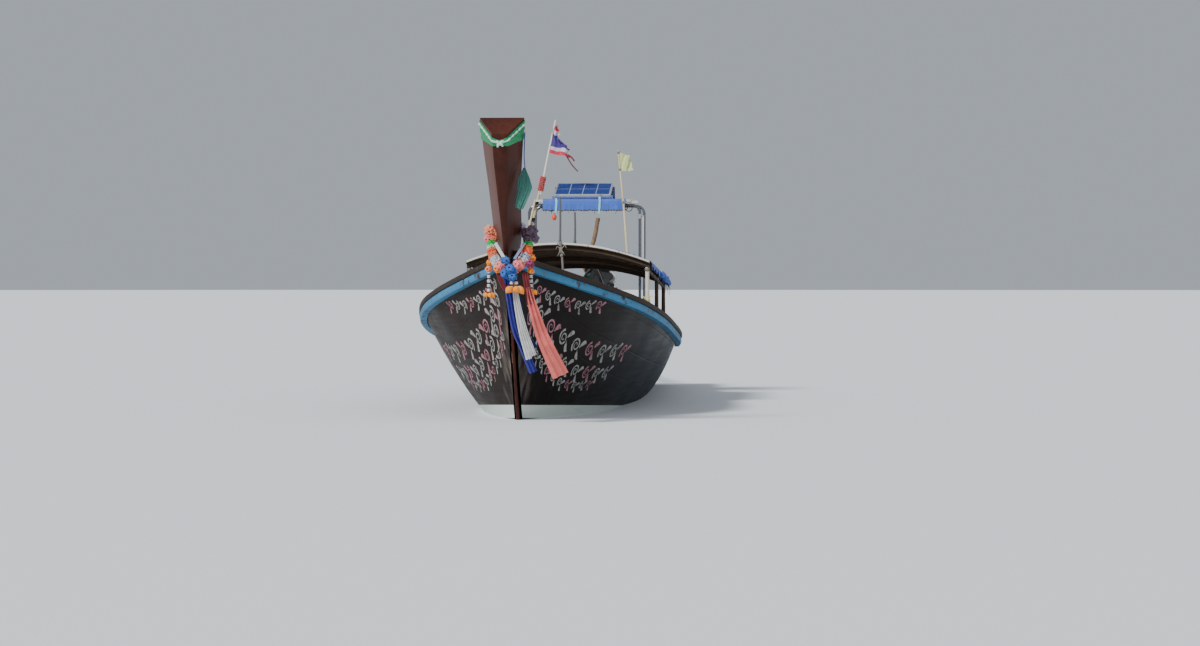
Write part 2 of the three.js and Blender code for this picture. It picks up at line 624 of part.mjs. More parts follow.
flags.forEach(({ name, pole, foot, head, station, radius, headRadius, poleCut, look, outline }) => {
  const y = along(station);
  const [low, high] = [foot, head].map(([x, z]) => [x, y, z]);
  node(pole, bar(low, high, radius, headRadius, SIDES.pole).subtract(poleCut), finish.paleTimber);
  const hoist = bar(low, high, radius + GAP, headRadius + GAP, SIDES.pole);
  const sheet = plateXZ(outline, y - FLAG_THICKNESS / 2, y + FLAG_THICKNESS / 2);
  node(`${name}_flag`, sheet.subtract(hoist), look);
});

// Dress of the stem: a band round the head, a cloth, a garland, tassels and ribbons. The band's
// outline is seen from the side, in stations and heights; the cloth's from ahead, in x and z.
const BAND = {
  grow: 6,
  outline: [[-1450, 2235], [-1450, 2305], [-1390, 2338], [-1190, 2474], [-1150, 2474], [-1150, 2300], [-1230, 2300]],
};
const bandSlab = plateYZ(BAND.outline.map(([station, z]) => [along(station), z]), -FAR, FAR);
node('stem_band', stemBody(BAND.grow).subtract(stemCut).intersect(bandSlab), finish.green);
const CLOTH = {
  from: -1120,
  to: -1112,
  outline: [[170, 2090], [233, 1925], [194, 1815], [158, 1745], [99, 1760], [117, 1905], [112, 2070]],
};
node('stem_cloth', plateXZ(CLOTH.outline, along(CLOTH.from), along(CLOTH.to)).subtract(stemCut), finish.teal);

// The garland: a thick ring of cloth flowers that hangs low across the front of the stem and
// rises behind it.
const GARLAND = {
  radius: 40,
  turns: 32,
  sides: 8,
  middle: { s: -840, z: 1450 },
  route: [[0, -925, 1255], [105, -905, 1330], [150, -850, 1455], [110, -775, 1590], [0, -745, 1640],
    [-110, -775, 1590], [-150, -850, 1455], [-105, -905, 1330]],
};
function garlandBody(grow = 0) {
  const { radius, turns, sides, middle, route } = GARLAND;
  const points = route.map(([x, s, z]) => new THREE.Vector3(x + DRESS_SHIFT, along(s), z));
  const path = new THREE.CatmullRomCurve3(points, true, 'centripetal');
  const hub = new THREE.Vector3(DRESS_SHIFT, along(middle.s), middle.z);
  const rings = [];
  for (let i = 0; i < turns; i += 1) {
    const centre = path.getPoint(i / turns);
    const run = path.getTangent(i / turns);
    const outward = centre.clone().sub(hub).projectOnPlane(run).normalize();
    const across = run.clone().cross(outward);
    const ring = [];
    for (let j = 0; j < sides; j += 1) {
      const angle = (2 * Math.PI * j) / sides;
      const out = outward.clone().multiplyScalar((radius + grow) * Math.cos(angle));
      ring.push(out.addScaledVector(across, (radius + grow) * Math.sin(angle)).add(centre));
    }
    rings.push(ring);
  }
  return loft(rings, true);
}
node('stem_garland', garlandBody().subtract(stemCut), finish.pink);

// A flat strip of cloth through points, from one width to another, standing square to its run.
function strip(points, width, endWidth, thickness, steps = 14) {
  const path = new THREE.CatmullRomCurve3(points.map(([x, s, z]) => new THREE.Vector3(x + DRESS_SHIFT, along(s), z)));
  const rings = [];
  for (let i = 0; i <= steps; i += 1) {
    const t = i / steps;
    const centre = path.getPoint(t);
    const run = path.getTangent(t);
    const half = (width + (endWidth - width) * t) / 2;
    const across = new THREE.Vector3(1, 0, 0).projectOnPlane(run).normalize().multiplyScalar(half);
    const through = run.clone().cross(across).normalize().multiplyScalar(thickness / 2);
    rings.push([
      centre.clone().sub(across).sub(through),
      centre.clone().add(across).sub(through),
      centre.clone().add(across).add(through),
      centre.clone().sub(across).add(through),
    ]);
  }
  return loft(rings);
}
const garlandCut = garlandBody(GAP * 2);
const RIBBON_THICKNESS = 4;
const ribbons = [
  {
    name: 'blue_ribbon',
    look: finish.blue,
    width: 56,
    endWidth: 64,
    points: [[-17, -928, 1245], [0, -915, 1050], [42, -870, 806], [105, -790, 622], [178, -720, 420]],
  },
  {
    name: 'white_ribbon',
    look: finish.white,
    width: 40,
    endWidth: 60,
    points: [[44, -935, 1235], [66, -925, 1010], [112, -888, 765], [172, -818, 545]],
  },
  {
    name: 'coral_ribbon',
    look: finish.coral,
    width: 40,
    endWidth: 130,
    points: [[84, -925, 1265], [157, -930, 1120], [187, -920, 989], [269, -860, 715], [410, -780, 393]],
  },
];
ribbons.forEach(({ name, look, width, endWidth, points }) => {
  node(name, strip(points, width, endWidth, RIBBON_THICKNESS).subtract(garlandCut), look);
});

// Tassels: a string with a bloom at its foot.
const TASSEL = { string: 10, bloom: 34, neck: 9, bloomHeight: 95 };
const tassels = [
  { name: 'tassel_starboard', x: -147, s: -860, top: 1400, low: 1050 },
  { name: 'tassel_middle', x: 29, s: -968, top: 1240, low: 1040 },
  { name: 'tassel_port', x: 197, s: -860, top: 1400, low: 1070 },
];
tassels.forEach(({ name, x, s, top, low }) => {
  const y = along(s);
  const { string, bloom, neck, bloomHeight } = TASSEL;
  const cord = bar([x, y, top], [x, y, low + bloomHeight - LAP], string, string, SIDES.cord);
  const flower = bar([x, y, low], [x, y, low + bloomHeight], bloom, neck, SIDES.cord);
  node(name, cord.add(flower).subtract(garlandCut), finish.coral);
});

// Engine beam across the rails, with the swivel socket on it.
const BEAM = { half: 70, depth: 110, pastSheer: 30, sunk: 4 };
const SOCKET = { radius: 60, topRadius: 56, height: 80, bore: 26.8, boreBelow: 20 };
const swivelSheer = sheerAt(SWIVEL.station);
const beamFoot = swivelSheer.z + CAP_RAIL.height - BEAM.sunk;
const beamTop = beamFoot + BEAM.depth;
const socketTop = beamTop + SOCKET.height;
const swivelY = along(SWIVEL.station);
function engineBeamBody() {
  const half = swivelSheer.x + BEAM.pastSheer;
  const beam = box(-half, half, swivelY - BEAM.half, swivelY + BEAM.half, beamFoot, beamTop);
  const { radius, topRadius, bore, boreBelow } = SOCKET;
  const socket = bar([0, swivelY, beamTop - LAP], [0, swivelY, socketTop], radius, topRadius, SIDES.bearing);
  const hole = bar([0, swivelY, beamTop - boreBelow], [0, swivelY, socketTop + LAP], bore, bore, SIDES.bearing);
  const capCuts = [-1, 1].map((side) => railBody(side, () => capCorners(GAP)));
  return capCuts.reduce((rest, cut) => rest.subtract(cut), beam.add(socket).subtract(hole));
}
node('engine_beam', engineBeamBody(), finish.innerWood);

// Swivel yoke: a pin in the socket, and two cheeks that carry the engine's trunnion. It is
// modelled from the trunnion's axis.
const YOKE = {
  half: 116,
  plateHalf: 55,
  plateDepth: 26,
  abovePlay: 0.5,
  cheek: 20,
  cheekHalf: 42,
  cheekTop: 42,
  cheekFoot: 10,
  pin: 26,
  pinAboveBore: 5,
  hole: 18.8,
};
groups.yoke.position.set(0, swivelY, SWIVEL.tiltZ);
const pair = (inner, outer, make) => [-1, 1].map((side) => make(...[side * inner, side * outer].sort((a, b) => a - b)));
function yokeBody() {
  const { half, plateHalf, plateDepth, abovePlay, cheek, cheekHalf, cheekTop, cheekFoot, pin, pinAboveBore } = YOKE;
  const base = socketTop + abovePlay - SWIVEL.tiltZ;
  const pinFoot = beamTop - SOCKET.boreBelow + pinAboveBore - SWIVEL.tiltZ;
  const post = bar([0, 0, pinFoot], [0, 0, base + LAP], pin, pin, SIDES.bearing);
  const plate = box(-half, half, -plateHalf, plateHalf, base, base + plateDepth);
  const cheeks = pair(half - cheek, half, (x0, x1) => box(x0, x1, -cheekHalf, cheekHalf, base + cheekFoot, cheekTop));
  const hole = bar([-half - LAP, 0, 0], [half + LAP, 0, 0], YOKE.hole, YOKE.hole, SIDES.bearing);
  return join([post, plate, ...cheeks]).subtract(hole);
}
node('swivel_yoke', yokeBody(), finish.iron, groups.yoke);

// Everything on the tilting engine frame is placed from the trunnion, +Y aft along the tail.
groups.engine.position.set(0, swivelY, SWIVEL.tiltZ);
groups.engine.rotation.x = -SWIVEL.slope * deg;
const mount = (name, body, look) => node(name, body, look, groups.engine);

const BLOCK = { half: 112, front: -700, back: -262, low: 45, high: 285, panBelow: 45 };
const HEAD = { half: 92, high: 372, fromEnds: 14 };

// Cradle: two rails with three cross members, the trunnion and the saddle under the gearbox.
const RAIL = { inner: 56, outer: 86, half: 28, front: -830, back: 135 };
const CROSS_MEMBERS = [{ from: -830, to: -790 }, { from: -470, to: -430 }, { from: 85, to: 135 }];
const TRUNNION = { half: 118, radius: 18 };
const SADDLE = { half: 34, from: 92, to: 128, low: 20, belowCrank: 46 };
function cradleBody() {
  const { inner, outer, half, front, back } = RAIL;
  const rails = pair(inner, outer, (x0, x1) => box(x0, x1, front, back, -half, half));
  const crosses = CROSS_MEMBERS.map(({ from, to }) => box(-inner - LAP, inner + LAP, from, to, -half, half));
  const { radius } = TRUNNION;
  const trunnion = bar([-TRUNNION.half, 0, 0], [TRUNNION.half, 0, 0], radius, radius, SIDES.bearing);
  const saddle = box(-SADDLE.half, SADDLE.half, SADDLE.from, SADDLE.to, SADDLE.low, CRANK_Z - SADDLE.belowCrank);
  return join([...rails, ...crosses, trunnion, saddle]);
}
mount('engine_cradle', cradleBody(), finish.iron);

// Block: crankcase, sump between the rails, feet on them, cylinder head and core plugs.
const SUMP = { sideIn: 30, frontIn: 60, backIn: 20, into: 15 };
const FEET = { frontIn: 50, backIn: 70, half: 25, sideIn: 2 };
const PLUGS = { count: 4, first: 75, pitch: 98, z: 180, radius: 26, past: 12, sides: 14 };
function blockBody() {
  const { half, front, back, low, high, panBelow } = BLOCK;
  const crankcase = box(-half, half, front, back, low + panBelow, high);
  const side = half - SUMP.sideIn;
  const underside = RAIL.half + GAP;
  const sumpTop = low + panBelow + SUMP.into;
  const sump = box(-side, side, front + SUMP.frontIn, back - SUMP.backIn, underside, sumpTop);
  const feet = [front + FEET.frontIn, back - FEET.backIn].flatMap((y) => (
    pair(RAIL.inner + FEET.sideIn, half - FEET.sideIn, (x0, x1) => (
      box(x0, x1, y - FEET.half, y + FEET.half, underside, sumpTop)))));
  const head = box(-HEAD.half, HEAD.half, front + HEAD.fromEnds, back - HEAD.fromEnds, high - LAP, HEAD.high);
  const plugs = [];
  for (let i = 0; i < PLUGS.count; i += 1) {
    const y = front + PLUGS.first + i * PLUGS.pitch;
    const reach = half + PLUGS.past;
    plugs.push(bar([-reach, y, PLUGS.z], [reach, y, PLUGS.z], PLUGS.radius, PLUGS.radius, PLUGS.sides));
  }
  return join([crankcase, sump, ...feet, head, ...plugs]);
}
mount('engine_block', blockBody(), finish.enginePaint);

const VALVE_COVER = {
  half: 58,
  fromEnds: 40,
  height: 48,
  crownZ: 44,
  crownRadius: 40,
  crownFoot: 30,
  capAt: 80,
  capFoot: 60,
  capTop: 104,
  capRadius: 26,
  capTopRadius: 24,
};
function valveCoverBody() {
  const { half, fromEnds, height, crownZ, crownRadius, crownFoot, capAt, capFoot, capTop, capRadius, capTopRadius } = VALVE_COVER;
  const y0 = BLOCK.front + fromEnds;
  const y1 = BLOCK.back - fromEnds;
  const z = HEAD.high;
  const cover = box(-half, half, y0, y1, z + GAP, z + height);
  const crown = bar([0, y0, z + crownZ], [0, y1, z + crownZ], crownRadius, crownRadius, SIDES.pipe);
  const cap = bar([0, y0 + capAt, z + capFoot], [0, y0 + capAt, z + capTop], capRadius, capTopRadius, SIDES.pipe);
  return join([cover, crown.intersect(box(-half, half, y0, y1, z + crownFoot, z + FAR)), cap]);
}
mount('valve_cover', valveCoverBody(), finish.aluminium);

const BELL = { radius: 136, neck: 66, rim: 60 };
const GEARBOX = { radius: 45.6, back: 150 };
function bellHousingBody() {
  const { radius, neck } = BELL;
  const rimEnd = BLOCK.back + BELL.rim;
  const rim = bar([0, BLOCK.back + GAP, CRANK_Z], [0, rimEnd, CRANK_Z], radius, radius, SIDES.bearing);
  const cone = bar([0, rimEnd - LAP, CRANK_Z], [0, 0, CRANK_Z], radius, neck, SIDES.bearing);
  const gearbox = bar([0, -LAP, CRANK_Z], [0, GEARBOX.back, CRANK_Z], GEARBOX.radius, GEARBOX.radius, SIDES.bearing);
  const clear = box(-FAR, FAR, -FAR, FAR, -FAR, RAIL.half + GAP);
  return join([rim, cone, gearbox]).subtract(clear);
}
mount('bell_housing', bellHousingBody(), finish.aluminium);

// Belt side: crank, fan and alternator pulleys with the belt round them.
const pulleys = {
  crank: { x: 0, z: CRANK_Z, radius: 62 },
  fan: { x: 0, z: 318, radius: 58 },
  alternator: { x: 148, z: 236, radius: 34 },
};
const PULLEY_WIDTH = 34;
const BELT = { from: 26, to: 10, outline: [[-58, 330], [50, 372], [180, 246], [168, 208], [50, 98], [-58, 120]] };
function beltDriveBody() {
  const y = BLOCK.front - GAP;
  const wheels = Object.values(pulleys).map(({ x, z, radius }) => (
    bar([x, y, z], [x, y - PULLEY_WIDTH, z], radius, radius, SIDES.drum)));
  return join([...wheels, plateXZ(BELT.outline, y - BELT.from, y - BELT.to)]);
}
mount('belt_drive', beltDriveBody(), finish.black);

const ALTERNATOR = { radius: 60, fromFront: 4, length: 130, shaft: 14, shaftEnd: 20 };
const LUG = { out: 50, from: 60, to: 84, below: 20, above: 50 };
function alternatorBody() {
  const { x, z } = pulleys.alternator;
  const { radius, fromFront, length, shaft, shaftEnd } = ALTERNATOR;
  const y = BLOCK.front + fromFront;
  const side = BLOCK.half + GAP;
  const shell = bar([x, y + GAP, z], [x, y + length, z], radius, radius, SIDES.drum);
  const spindle = bar([x, BLOCK.front, z], [x, y + shaftEnd, z], shaft, shaft, SIDES.pole);
  const plugCut = box(0, side + PLUGS.past, -FAR, FAR, PLUGS.z - PLUGS.radius - LAP, PLUGS.z + PLUGS.radius + GAP);
  const blockCut = box(-side, side, -FAR, FAR, 0, HEAD.high).add(plugCut);
  const lug = box(side, BLOCK.half + LUG.out, y + LUG.from, y + LUG.to, z - LUG.below, z + LUG.above);
  return join([shell, spindle]).subtract(blockCut).add(lug);
}
mount('alternator', alternatorBody(), finish.aluminium);

// Exhaust: a manifold along the starboard side of the head, and a stack that leans toward the
// middle. The stack's route is given as x, y aft of its foot and z above the head.
const EXHAUST = {
  width: 62,
  fromEnds: 60,
  low: 66,
  high: 12,
  stackAt: 200,
  radius: 23,
  steps: 16,
  sides: 12,
  route: [[-124.3, 0, -30], [-128.3, 0, 90], [-82, 10, 200], [-43, 20, 310], [-6, 22, 530]],
};
function exhaustBody() {
  const { width, fromEnds, low, high, stackAt, radius, steps, sides, route } = EXHAUST;
  const out = HEAD.half + GAP;
  const y0 = BLOCK.front + fromEnds;
  const log = box(-out - width, -out, y0, BLOCK.back - fromEnds, HEAD.high - low, HEAD.high - high);
  const foot = BLOCK.front + stackAt;
  return log.add(pipe(route.map(([x, y, z]) => [x, foot + y, HEAD.high + z]), radius, steps, sides));
}
mount('exhaust_stack', exhaustBody(), finish.rust);

// Air cleaner: an intake runner on the port side of the head, and a drum on a neck.
const INTAKE = { at: 250, half: 130, width: 70, low: 62, high: 20 };
const AIR_CLEANER = { out: 42, neck: 26, neckFoot: 40, neckTop: 70, radius: 88, foot: 66, top: 136 };
function airCleanerBody() {
  const x0 = HEAD.half + GAP;
  const y = BLOCK.front + INTAKE.at;
  const z = HEAD.high;
  const { out, neck, neckFoot, neckTop, radius, foot, top } = AIR_CLEANER;
  const runner = box(x0, x0 + INTAKE.width, y - INTAKE.half, y + INTAKE.half, z - INTAKE.low, z - INTAKE.high);
  const stub = bar([x0 + out, y, z - neckFoot], [x0 + out, y, z + neckTop], neck, neck, SIDES.pipe);
  const drum = bar([x0 + out, y, z + foot], [x0 + out, y, z + top], radius, radius, SIDES.bearing);
  const valveHalf = VALVE_COVER.half + GAP;
  const valveClear = box(-valveHalf, valveHalf, -FAR, FAR, z - LAP, z + VALVE_COVER.height + LAP);
  return join([runner, stub, drum]).subtract(valveClear);
}
mount('air_cleaner', airCleanerBody(), finish.black);

// Tiller: a long pipe from the side of the cradle forward to a cross grip.
const TILLER = { beside: 20, radius: 19, steps: 18, sides: 12 };
const GRIP = { half: 150, y: -1545, z: 296, radius: 16 };
const CLAMP = { past: 6, from: -345, to: -300, half: 13 };
function tillerBody() {
  const { beside, radius, steps, sides } = TILLER;
  const x = RAIL.outer + GAP + beside;
  const route = [[x, -250, 0], [x + 1, -560, 0], [x + 6, -880, 25], [60, -1180, 190], [0, -1560, 300]];
  const grip = bar([-GRIP.half, GRIP.y, GRIP.z], [GRIP.half, GRIP.y, GRIP.z], GRIP.radius, GRIP.radius, SIDES.pole);
  const clamp = box(RAIL.outer + GAP, x + CLAMP.past, CLAMP.from, CLAMP.to, -CLAMP.half, CLAMP.half);
  return join([pipe(route, radius, steps, sides), grip, clamp]);
}
mount('tiller', tillerBody(), finish.steel);

// Tail: the shaft tube, the fin plate under it, the skeg at its end and the propeller. Plate
// outlines are given as y and the distance below the shaft.
const TAIL = { radius: 36, from: 165 };
const FLANGE = { radius: 62, from: GEARBOX.back + 0.4, to: 172 };
const TAIL_BEARING = { radius: 46, length: 130 };
function tailTubeBody() {
  const shaftBar = (y0, y1, radius) => bar([0, y0, CRANK_Z], [0, y1, CRANK_Z], radius, radius, SIDES.drum);
  const flange = shaftBar(FLANGE.from, FLANGE.to, FLANGE.radius);
  const tube = shaftBar(TAIL.from, TAIL_END, TAIL.radius);
  const bearing = shaftBar(TAIL_END - TAIL_BEARING.length, TAIL_END, TAIL_BEARING.radius);
  return join([flange, tube, bearing]);
}
mount('tail_tube', tailTubeBody(), finish.iron);

function tailCut(y0, radius) {
  return bar([0, y0, CRANK_Z], [0, TAIL_END + LAP, CRANK_Z], radius + GAP * 2, radius + GAP * 2, SIDES.drum);
}
const tubeCut = tailCut(TAIL.from - LAP, TAIL.radius);
const bearingCut = tailCut(TAIL_END - TAIL_BEARING.length - GAP, TAIL_BEARING.radius);
const FIN = { half: 4, outline: [[260, 20], [2500, 20], [2420, 78], [420, 104]] };
const SKEG = {
  half: 5,
  outline: [[TAIL_END - 420, 20], [TAIL_END - 4, 20], [TAIL_END - 10, 190], [TAIL_END - 70, 205]],
};
const belowShaft = (outline) => outline.map(([y, below]) => [y, CRANK_Z - below]);
mount('tail_fin', plateYZ(belowShaft(FIN.outline), -FIN.half, FIN.half).subtract(tubeCut), finish.iron);
const skegBlade = plateYZ(belowShaft(SKEG.outline), -SKEG.half, SKEG.half);
mount('skeg', skegBlade.subtract(tubeCut).subtract(bearingCut), finish.iron);

// Propeller: two broad twisted blades on a hub. A blade runs from root to tip, its chord
// fullest at fullAt of the way and its pitch falling.
const HUB = { play: 0.8, length: 92, radius: 33, endRadius: 27 };
const NUT = { length: 30, radius: 17, endRadius: 13, sides: 6 };
const BLADE = {
  root: 18,
  reach: 150,
  rootPitch: 62,
  pitchFall: 38,
  chord: 52,
  fullAt: 0.425,
  taper: 2.88,
  narrowest: 0.06,
  tipChord: 0.45,
  thickness: 6.5,
  thinning: 4,
  rake: 0.62,
  steps: 10,
};
function bladeBody() {
  const rings = [];
  for (let i = 0; i <= BLADE.steps; i += 1) {
    const u = i / BLADE.steps;
    const pitch = (BLADE.rootPitch - BLADE.pitchFall * u) * deg;
    const fullness = Math.sqrt(Math.max(BLADE.narrowest, 1 - BLADE.taper * (u - BLADE.fullAt) ** 2));
    const chord = BLADE.chord * fullness * (i === BLADE.steps ? BLADE.tipChord : 1);
    const thick = BLADE.thickness - BLADE.thinning * u;
    const corners = [[-chord, 0], [0, thick], [chord, 0], [0, -thick]];
    rings.push(corners.map(([c, t]) => {
      const side = c * Math.cos(pitch) - t * Math.sin(pitch);
      const y = c * Math.sin(pitch) * BLADE.rake + t * Math.cos(pitch);
      return new THREE.Vector3(side, TAIL_END + HUB.play + HUB.length / 2 + y, BLADE.root + BLADE.reach * u);
    }));
  }
  return loft(rings);
}
function propellerBody() {
  const y = TAIL_END + HUB.play;
  const nutFrom = y + HUB.length - LAP;
  const hub = bar([0, y, CRANK_Z], [0, y + HUB.length, CRANK_Z], HUB.radius, HUB.endRadius, SIDES.drum);
  const nut = bar([0, nutFrom, CRANK_Z], [0, y + HUB.length + NUT.length, CRANK_Z], NUT.radius, NUT.endRadius, NUT.sides);
  const blades = [0, 180].map((turn) => bladeBody().rotate([0, turn, 0]).translate([0, 0, CRANK_Z]));
  return join([hub, nut, ...blades]);
}
mount('propeller', propellerBody(), finish.brass);

export default boat;
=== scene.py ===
"""Dresses the longtail boat: hull skins, rails, stem dress, roof, canopy, engine trim and stage.

Metres, +Z up, the bow toward -Y, port toward +X, the water at Z = 0.
"""

import math
import random

import bmesh
import bpy
from mathutils import Matrix, Vector


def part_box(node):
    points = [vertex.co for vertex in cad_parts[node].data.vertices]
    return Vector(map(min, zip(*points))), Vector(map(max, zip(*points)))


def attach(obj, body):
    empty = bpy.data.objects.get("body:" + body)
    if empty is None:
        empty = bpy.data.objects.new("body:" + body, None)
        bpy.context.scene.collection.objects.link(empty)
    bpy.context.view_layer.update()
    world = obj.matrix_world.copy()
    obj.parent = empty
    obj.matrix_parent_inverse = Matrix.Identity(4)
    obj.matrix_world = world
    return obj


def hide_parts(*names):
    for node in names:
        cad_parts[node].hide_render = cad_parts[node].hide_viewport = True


bl_info = {
    "name": "Longtail Boat Dresser",
    "version": (1, 0, 0),
    "blender": (4, 5, 0),
    "location": "View3D > Sidebar > Longtail",
    "description": "Builds the finished surfaces, cloth and trim of a wooden longtail boat",
    "category": "Object",
}

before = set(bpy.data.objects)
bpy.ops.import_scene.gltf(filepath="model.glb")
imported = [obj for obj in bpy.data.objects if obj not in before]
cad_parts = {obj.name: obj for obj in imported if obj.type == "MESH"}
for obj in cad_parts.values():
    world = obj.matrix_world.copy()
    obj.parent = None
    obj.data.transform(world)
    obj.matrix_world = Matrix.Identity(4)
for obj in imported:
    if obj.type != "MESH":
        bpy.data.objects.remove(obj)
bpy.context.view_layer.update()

WATERLINE_LENGTH = 9.6
PLANK = 0.034


def along(station):
    """Turns metres aft of the stem's waterline entry into Y."""
    return station - WATERLINE_LENGTH / 2


# Hull lines, bow to stern. Each row is one station: keel (S, Z), bilge control point
# (S, half-breadth, Z) and sheer (S, half-breadth, Z).
HULL_LINES = [
    ((-0.760, 1.215), (-0.775, 0.026, 1.290), (-0.800, 0.040, 1.372)),
    ((-0.490, 0.800), (-0.450, 0.070, 1.010), (-0.430, 0.160, 1.295)),
    ((-0.180, 0.340), (-0.100, 0.100, 0.620), (-0.060, 0.350, 1.220)),
    ((0.070, -0.010), (0.190, 0.150, 0.270), (0.320, 0.550, 1.140)),
    ((0.350, -0.235), (0.500, 0.210, 0.000), (0.780, 0.750, 1.055)),
    ((0.900, -0.325), (1.050, 0.320, -0.170), (1.380, 0.940, 0.955)),
    ((1.950, -0.370), (2.050, 0.460, -0.295), (2.200, 1.065, 0.836)),
    ((3.250, -0.390), (3.270, 0.560, -0.310), (3.300, 1.100, 0.718)),
    ((4.700, -0.400), (4.700, 0.645, -0.300), (4.700, 1.068, 0.620)),
    ((6.300, -0.400), (6.300, 0.650, -0.280), (6.300, 0.965, 0.558)),
    ((8.000, -0.390), (8.000, 0.615, -0.240), (8.000, 0.855, 0.515)),
    ((9.600, -0.370), (9.600, 0.545, -0.237), (9.600, 0.760, 0.500)),
]

# Stem post, keel to head: front (S, Z), back (S, Z), front half-width, back half-width.
STEM_SECTIONS = [
    ((0.600, -0.432), (0.600, -0.262), 0.020, 0.0297),
    ((0.330, -0.372), (0.480, -0.160), 0.013, 0.0297),
    ((0.140, -0.210), (0.370, 0.020), 0.011, 0.0297),
    ((0.000, 0.000), (0.260, 0.170), 0.011, 0.0297),
    ((-0.235, 0.400), (0.030, 0.530), 0.011, 0.0297),
    ((-0.520, 0.850), (-0.270, 0.970), 0.011, 0.0297),
    ((-0.745, 1.160), (-0.510, 1.275), 0.012, 0.052),
    ((-0.880, 1.345), (-0.660, 1.450), 0.015, 0.096),
    ((-0.985, 1.500), (-0.775, 1.590), 0.020, 0.117),
    ((-1.190, 1.830), (-0.985, 1.905), 0.035, 0.133),
    ((-1.330, 2.120), (-1.120, 2.190), 0.053, 0.158),
    ((-1.415, 2.350), (-1.215, 2.490), 0.061, 0.184),
]


# Curves

def catmull_rom(p0, p1, p2, p3, u):
    """A point at u from 0 to 1 between p1 and p2."""
    return (p1 * (2 * u**3 - 3 * u**2 + 1) + (p2 - p0) * 0.5 * (u**3 - 2 * u**2 + u)
            + p2 * (3 * u**2 - 2 * u**3) + (p3 - p1) * 0.5 * (u**3 - u**2))


def smooth_point(points, t):
    """A point at t from 0 to 1 on a smooth curve through points, even in index."""
    place = t * (len(points) - 1)
    i = min(int(place), len(points) - 2)
    p1, p2 = points[i], points[i + 1]
    p0 = points[i - 1] if i else p1 * 2 - p2
    p3 = points[i + 2] if i + 2 < len(points) else p2 * 2 - p1
    return catmull_rom(p0, p1, p2, p3, place - i)


def loop_point(points, t):
    """A point on the smooth closed curve through points; t goes once round from 0 to 1."""
    place = (t % 1.0) * len(points)
    i = int(place)
    return catmull_rom(*(points[(i + k) % len(points)] for k in (-1, 0, 1, 2)), place - i)


def heading(points, t, step=0.01):
    """How far the smooth curve through points goes round t, with its direction."""
    return smooth_point(points, min(1, t + step)) - smooth_point(points, max(0, t - step))


def last_where(holds):
    """The end of the stretch from 0 where holds(t) is true, by halving 0 to 1."""
    low, high = 0.0, 1.0
    for _ in range(30):
        middle = (low + high) / 2
        if holds(middle):
            low = middle
        else:
            high = middle
    return low


def turns(count, shift=0.0):
    """The angles of count even steps round a circle."""
    return [2 * math.pi * (k + shift) / count for k in range(count)]


def above(height):
    return Vector((0, 0, height))


KEEL = [Vector((0, along(row[0][0]), row[0][1])) for row in HULL_LINES]
BILGE = [Vector((row[1][1], along(row[1][0]), row[1][2])) for row in HULL_LINES]
SHEER = [Vector((row[2][1], along(row[2][0]), row[2][2])) for row in HULL_LINES]


def hull_point(t, v, inset=0.0):
    """A point on the port skin: t from bow to stern, v from the keel up to the sheer."""
    keel = smooth_point(KEEL, t) + Vector((0, inset, inset * 1.2))
    bilge = smooth_point(BILGE, t) + Vector((-inset, 0, inset * 0.8))
    sheer = smooth_point(SHEER, t) - Vector((inset, 0, 0))
    return keel * (1 - v) ** 2 + bilge * (2 * v * (1 - v)) + sheer * v**2


def sheer_at(station):
    """The sheer's point at a station."""
    return smooth_point(SHEER, last_where(lambda t: smooth_point(SHEER, t).y < along(station)))


# Meshes

def select_only(*objects):
    bpy.ops.object.select_all(action="DESELECT")
    for obj in objects:
        obj.select_set(True)
    bpy.context.view_layer.objects.active = objects[-1]


def mesh_piece(name, points, faces, uvs=None):
    """A mesh from points and faces; uvs holds one pair for each corner of each face."""
    mesh = bpy.data.meshes.new(name)
    mesh.from_pydata([tuple(p) for p in points], [], faces)
    if uvs:
        layer = mesh.uv_layers.new(name="UVMap")
        for loop, uv in zip(layer.data, uvs):
            loop.uv = uv
    obj = bpy.data.objects.new(name, mesh)
    bpy.context.collection.objects.link(obj)
    return obj


def outward(obj):
    """Merges doubles and turns the faces outwards."""
    bm = bmesh.new()
    bm.from_mesh(obj.data)
    bmesh.ops.remove_doubles(bm, verts=bm.verts, dist=1e-5)
    bmesh.ops.recalc_face_normals(bm, faces=bm.faces)
    bm.to_mesh(obj.data)
    bm.free()


def skins(runs, angle=35):
    """Closed skins through runs of rings; UV runs along the rings (u) and round them (v).

    A run whose last ring is its first one is closed on itself, and any other has a cap at each end.
    """
    points, faces, uvs = [], [], []
    for rings in runs:
        closed = rings[-1] is rings[0]
        if closed:
            rings = rings[:-1]
        first, count = len(points), len(rings[0])
        points += [p for ring in rings for p in ring]
        spans = len(rings) if closed else len(rings) - 1
        for i in range(spans):
            a, b = first + i * count, first + ((i + 1) % len(rings)) * count
            for j in range(count):
                k = (j + 1) % count
                faces.append((a + j, b + j, b + k, a + k))
                u0, u1, v0, v1 = i / spans, (i + 1) / spans, j / count, (j + 1) / count
                uvs += [(u0, v0), (u1, v0), (u1, v1), (u0, v1)]
        if not closed:
            for start in (first, first + (len(rings) - 1) * count):
                faces.append(tuple(range(start, start + count)))
                uvs += [(0, 0)] * count
    obj = mesh_piece("skin", points, faces, uvs)
    outward(obj)
    select_only(obj)
    bpy.ops.object.shade_smooth_by_angle(angle=math.radians(angle))
    return obj


def loft(rings, angle=35):
    return skins([rings], angle)


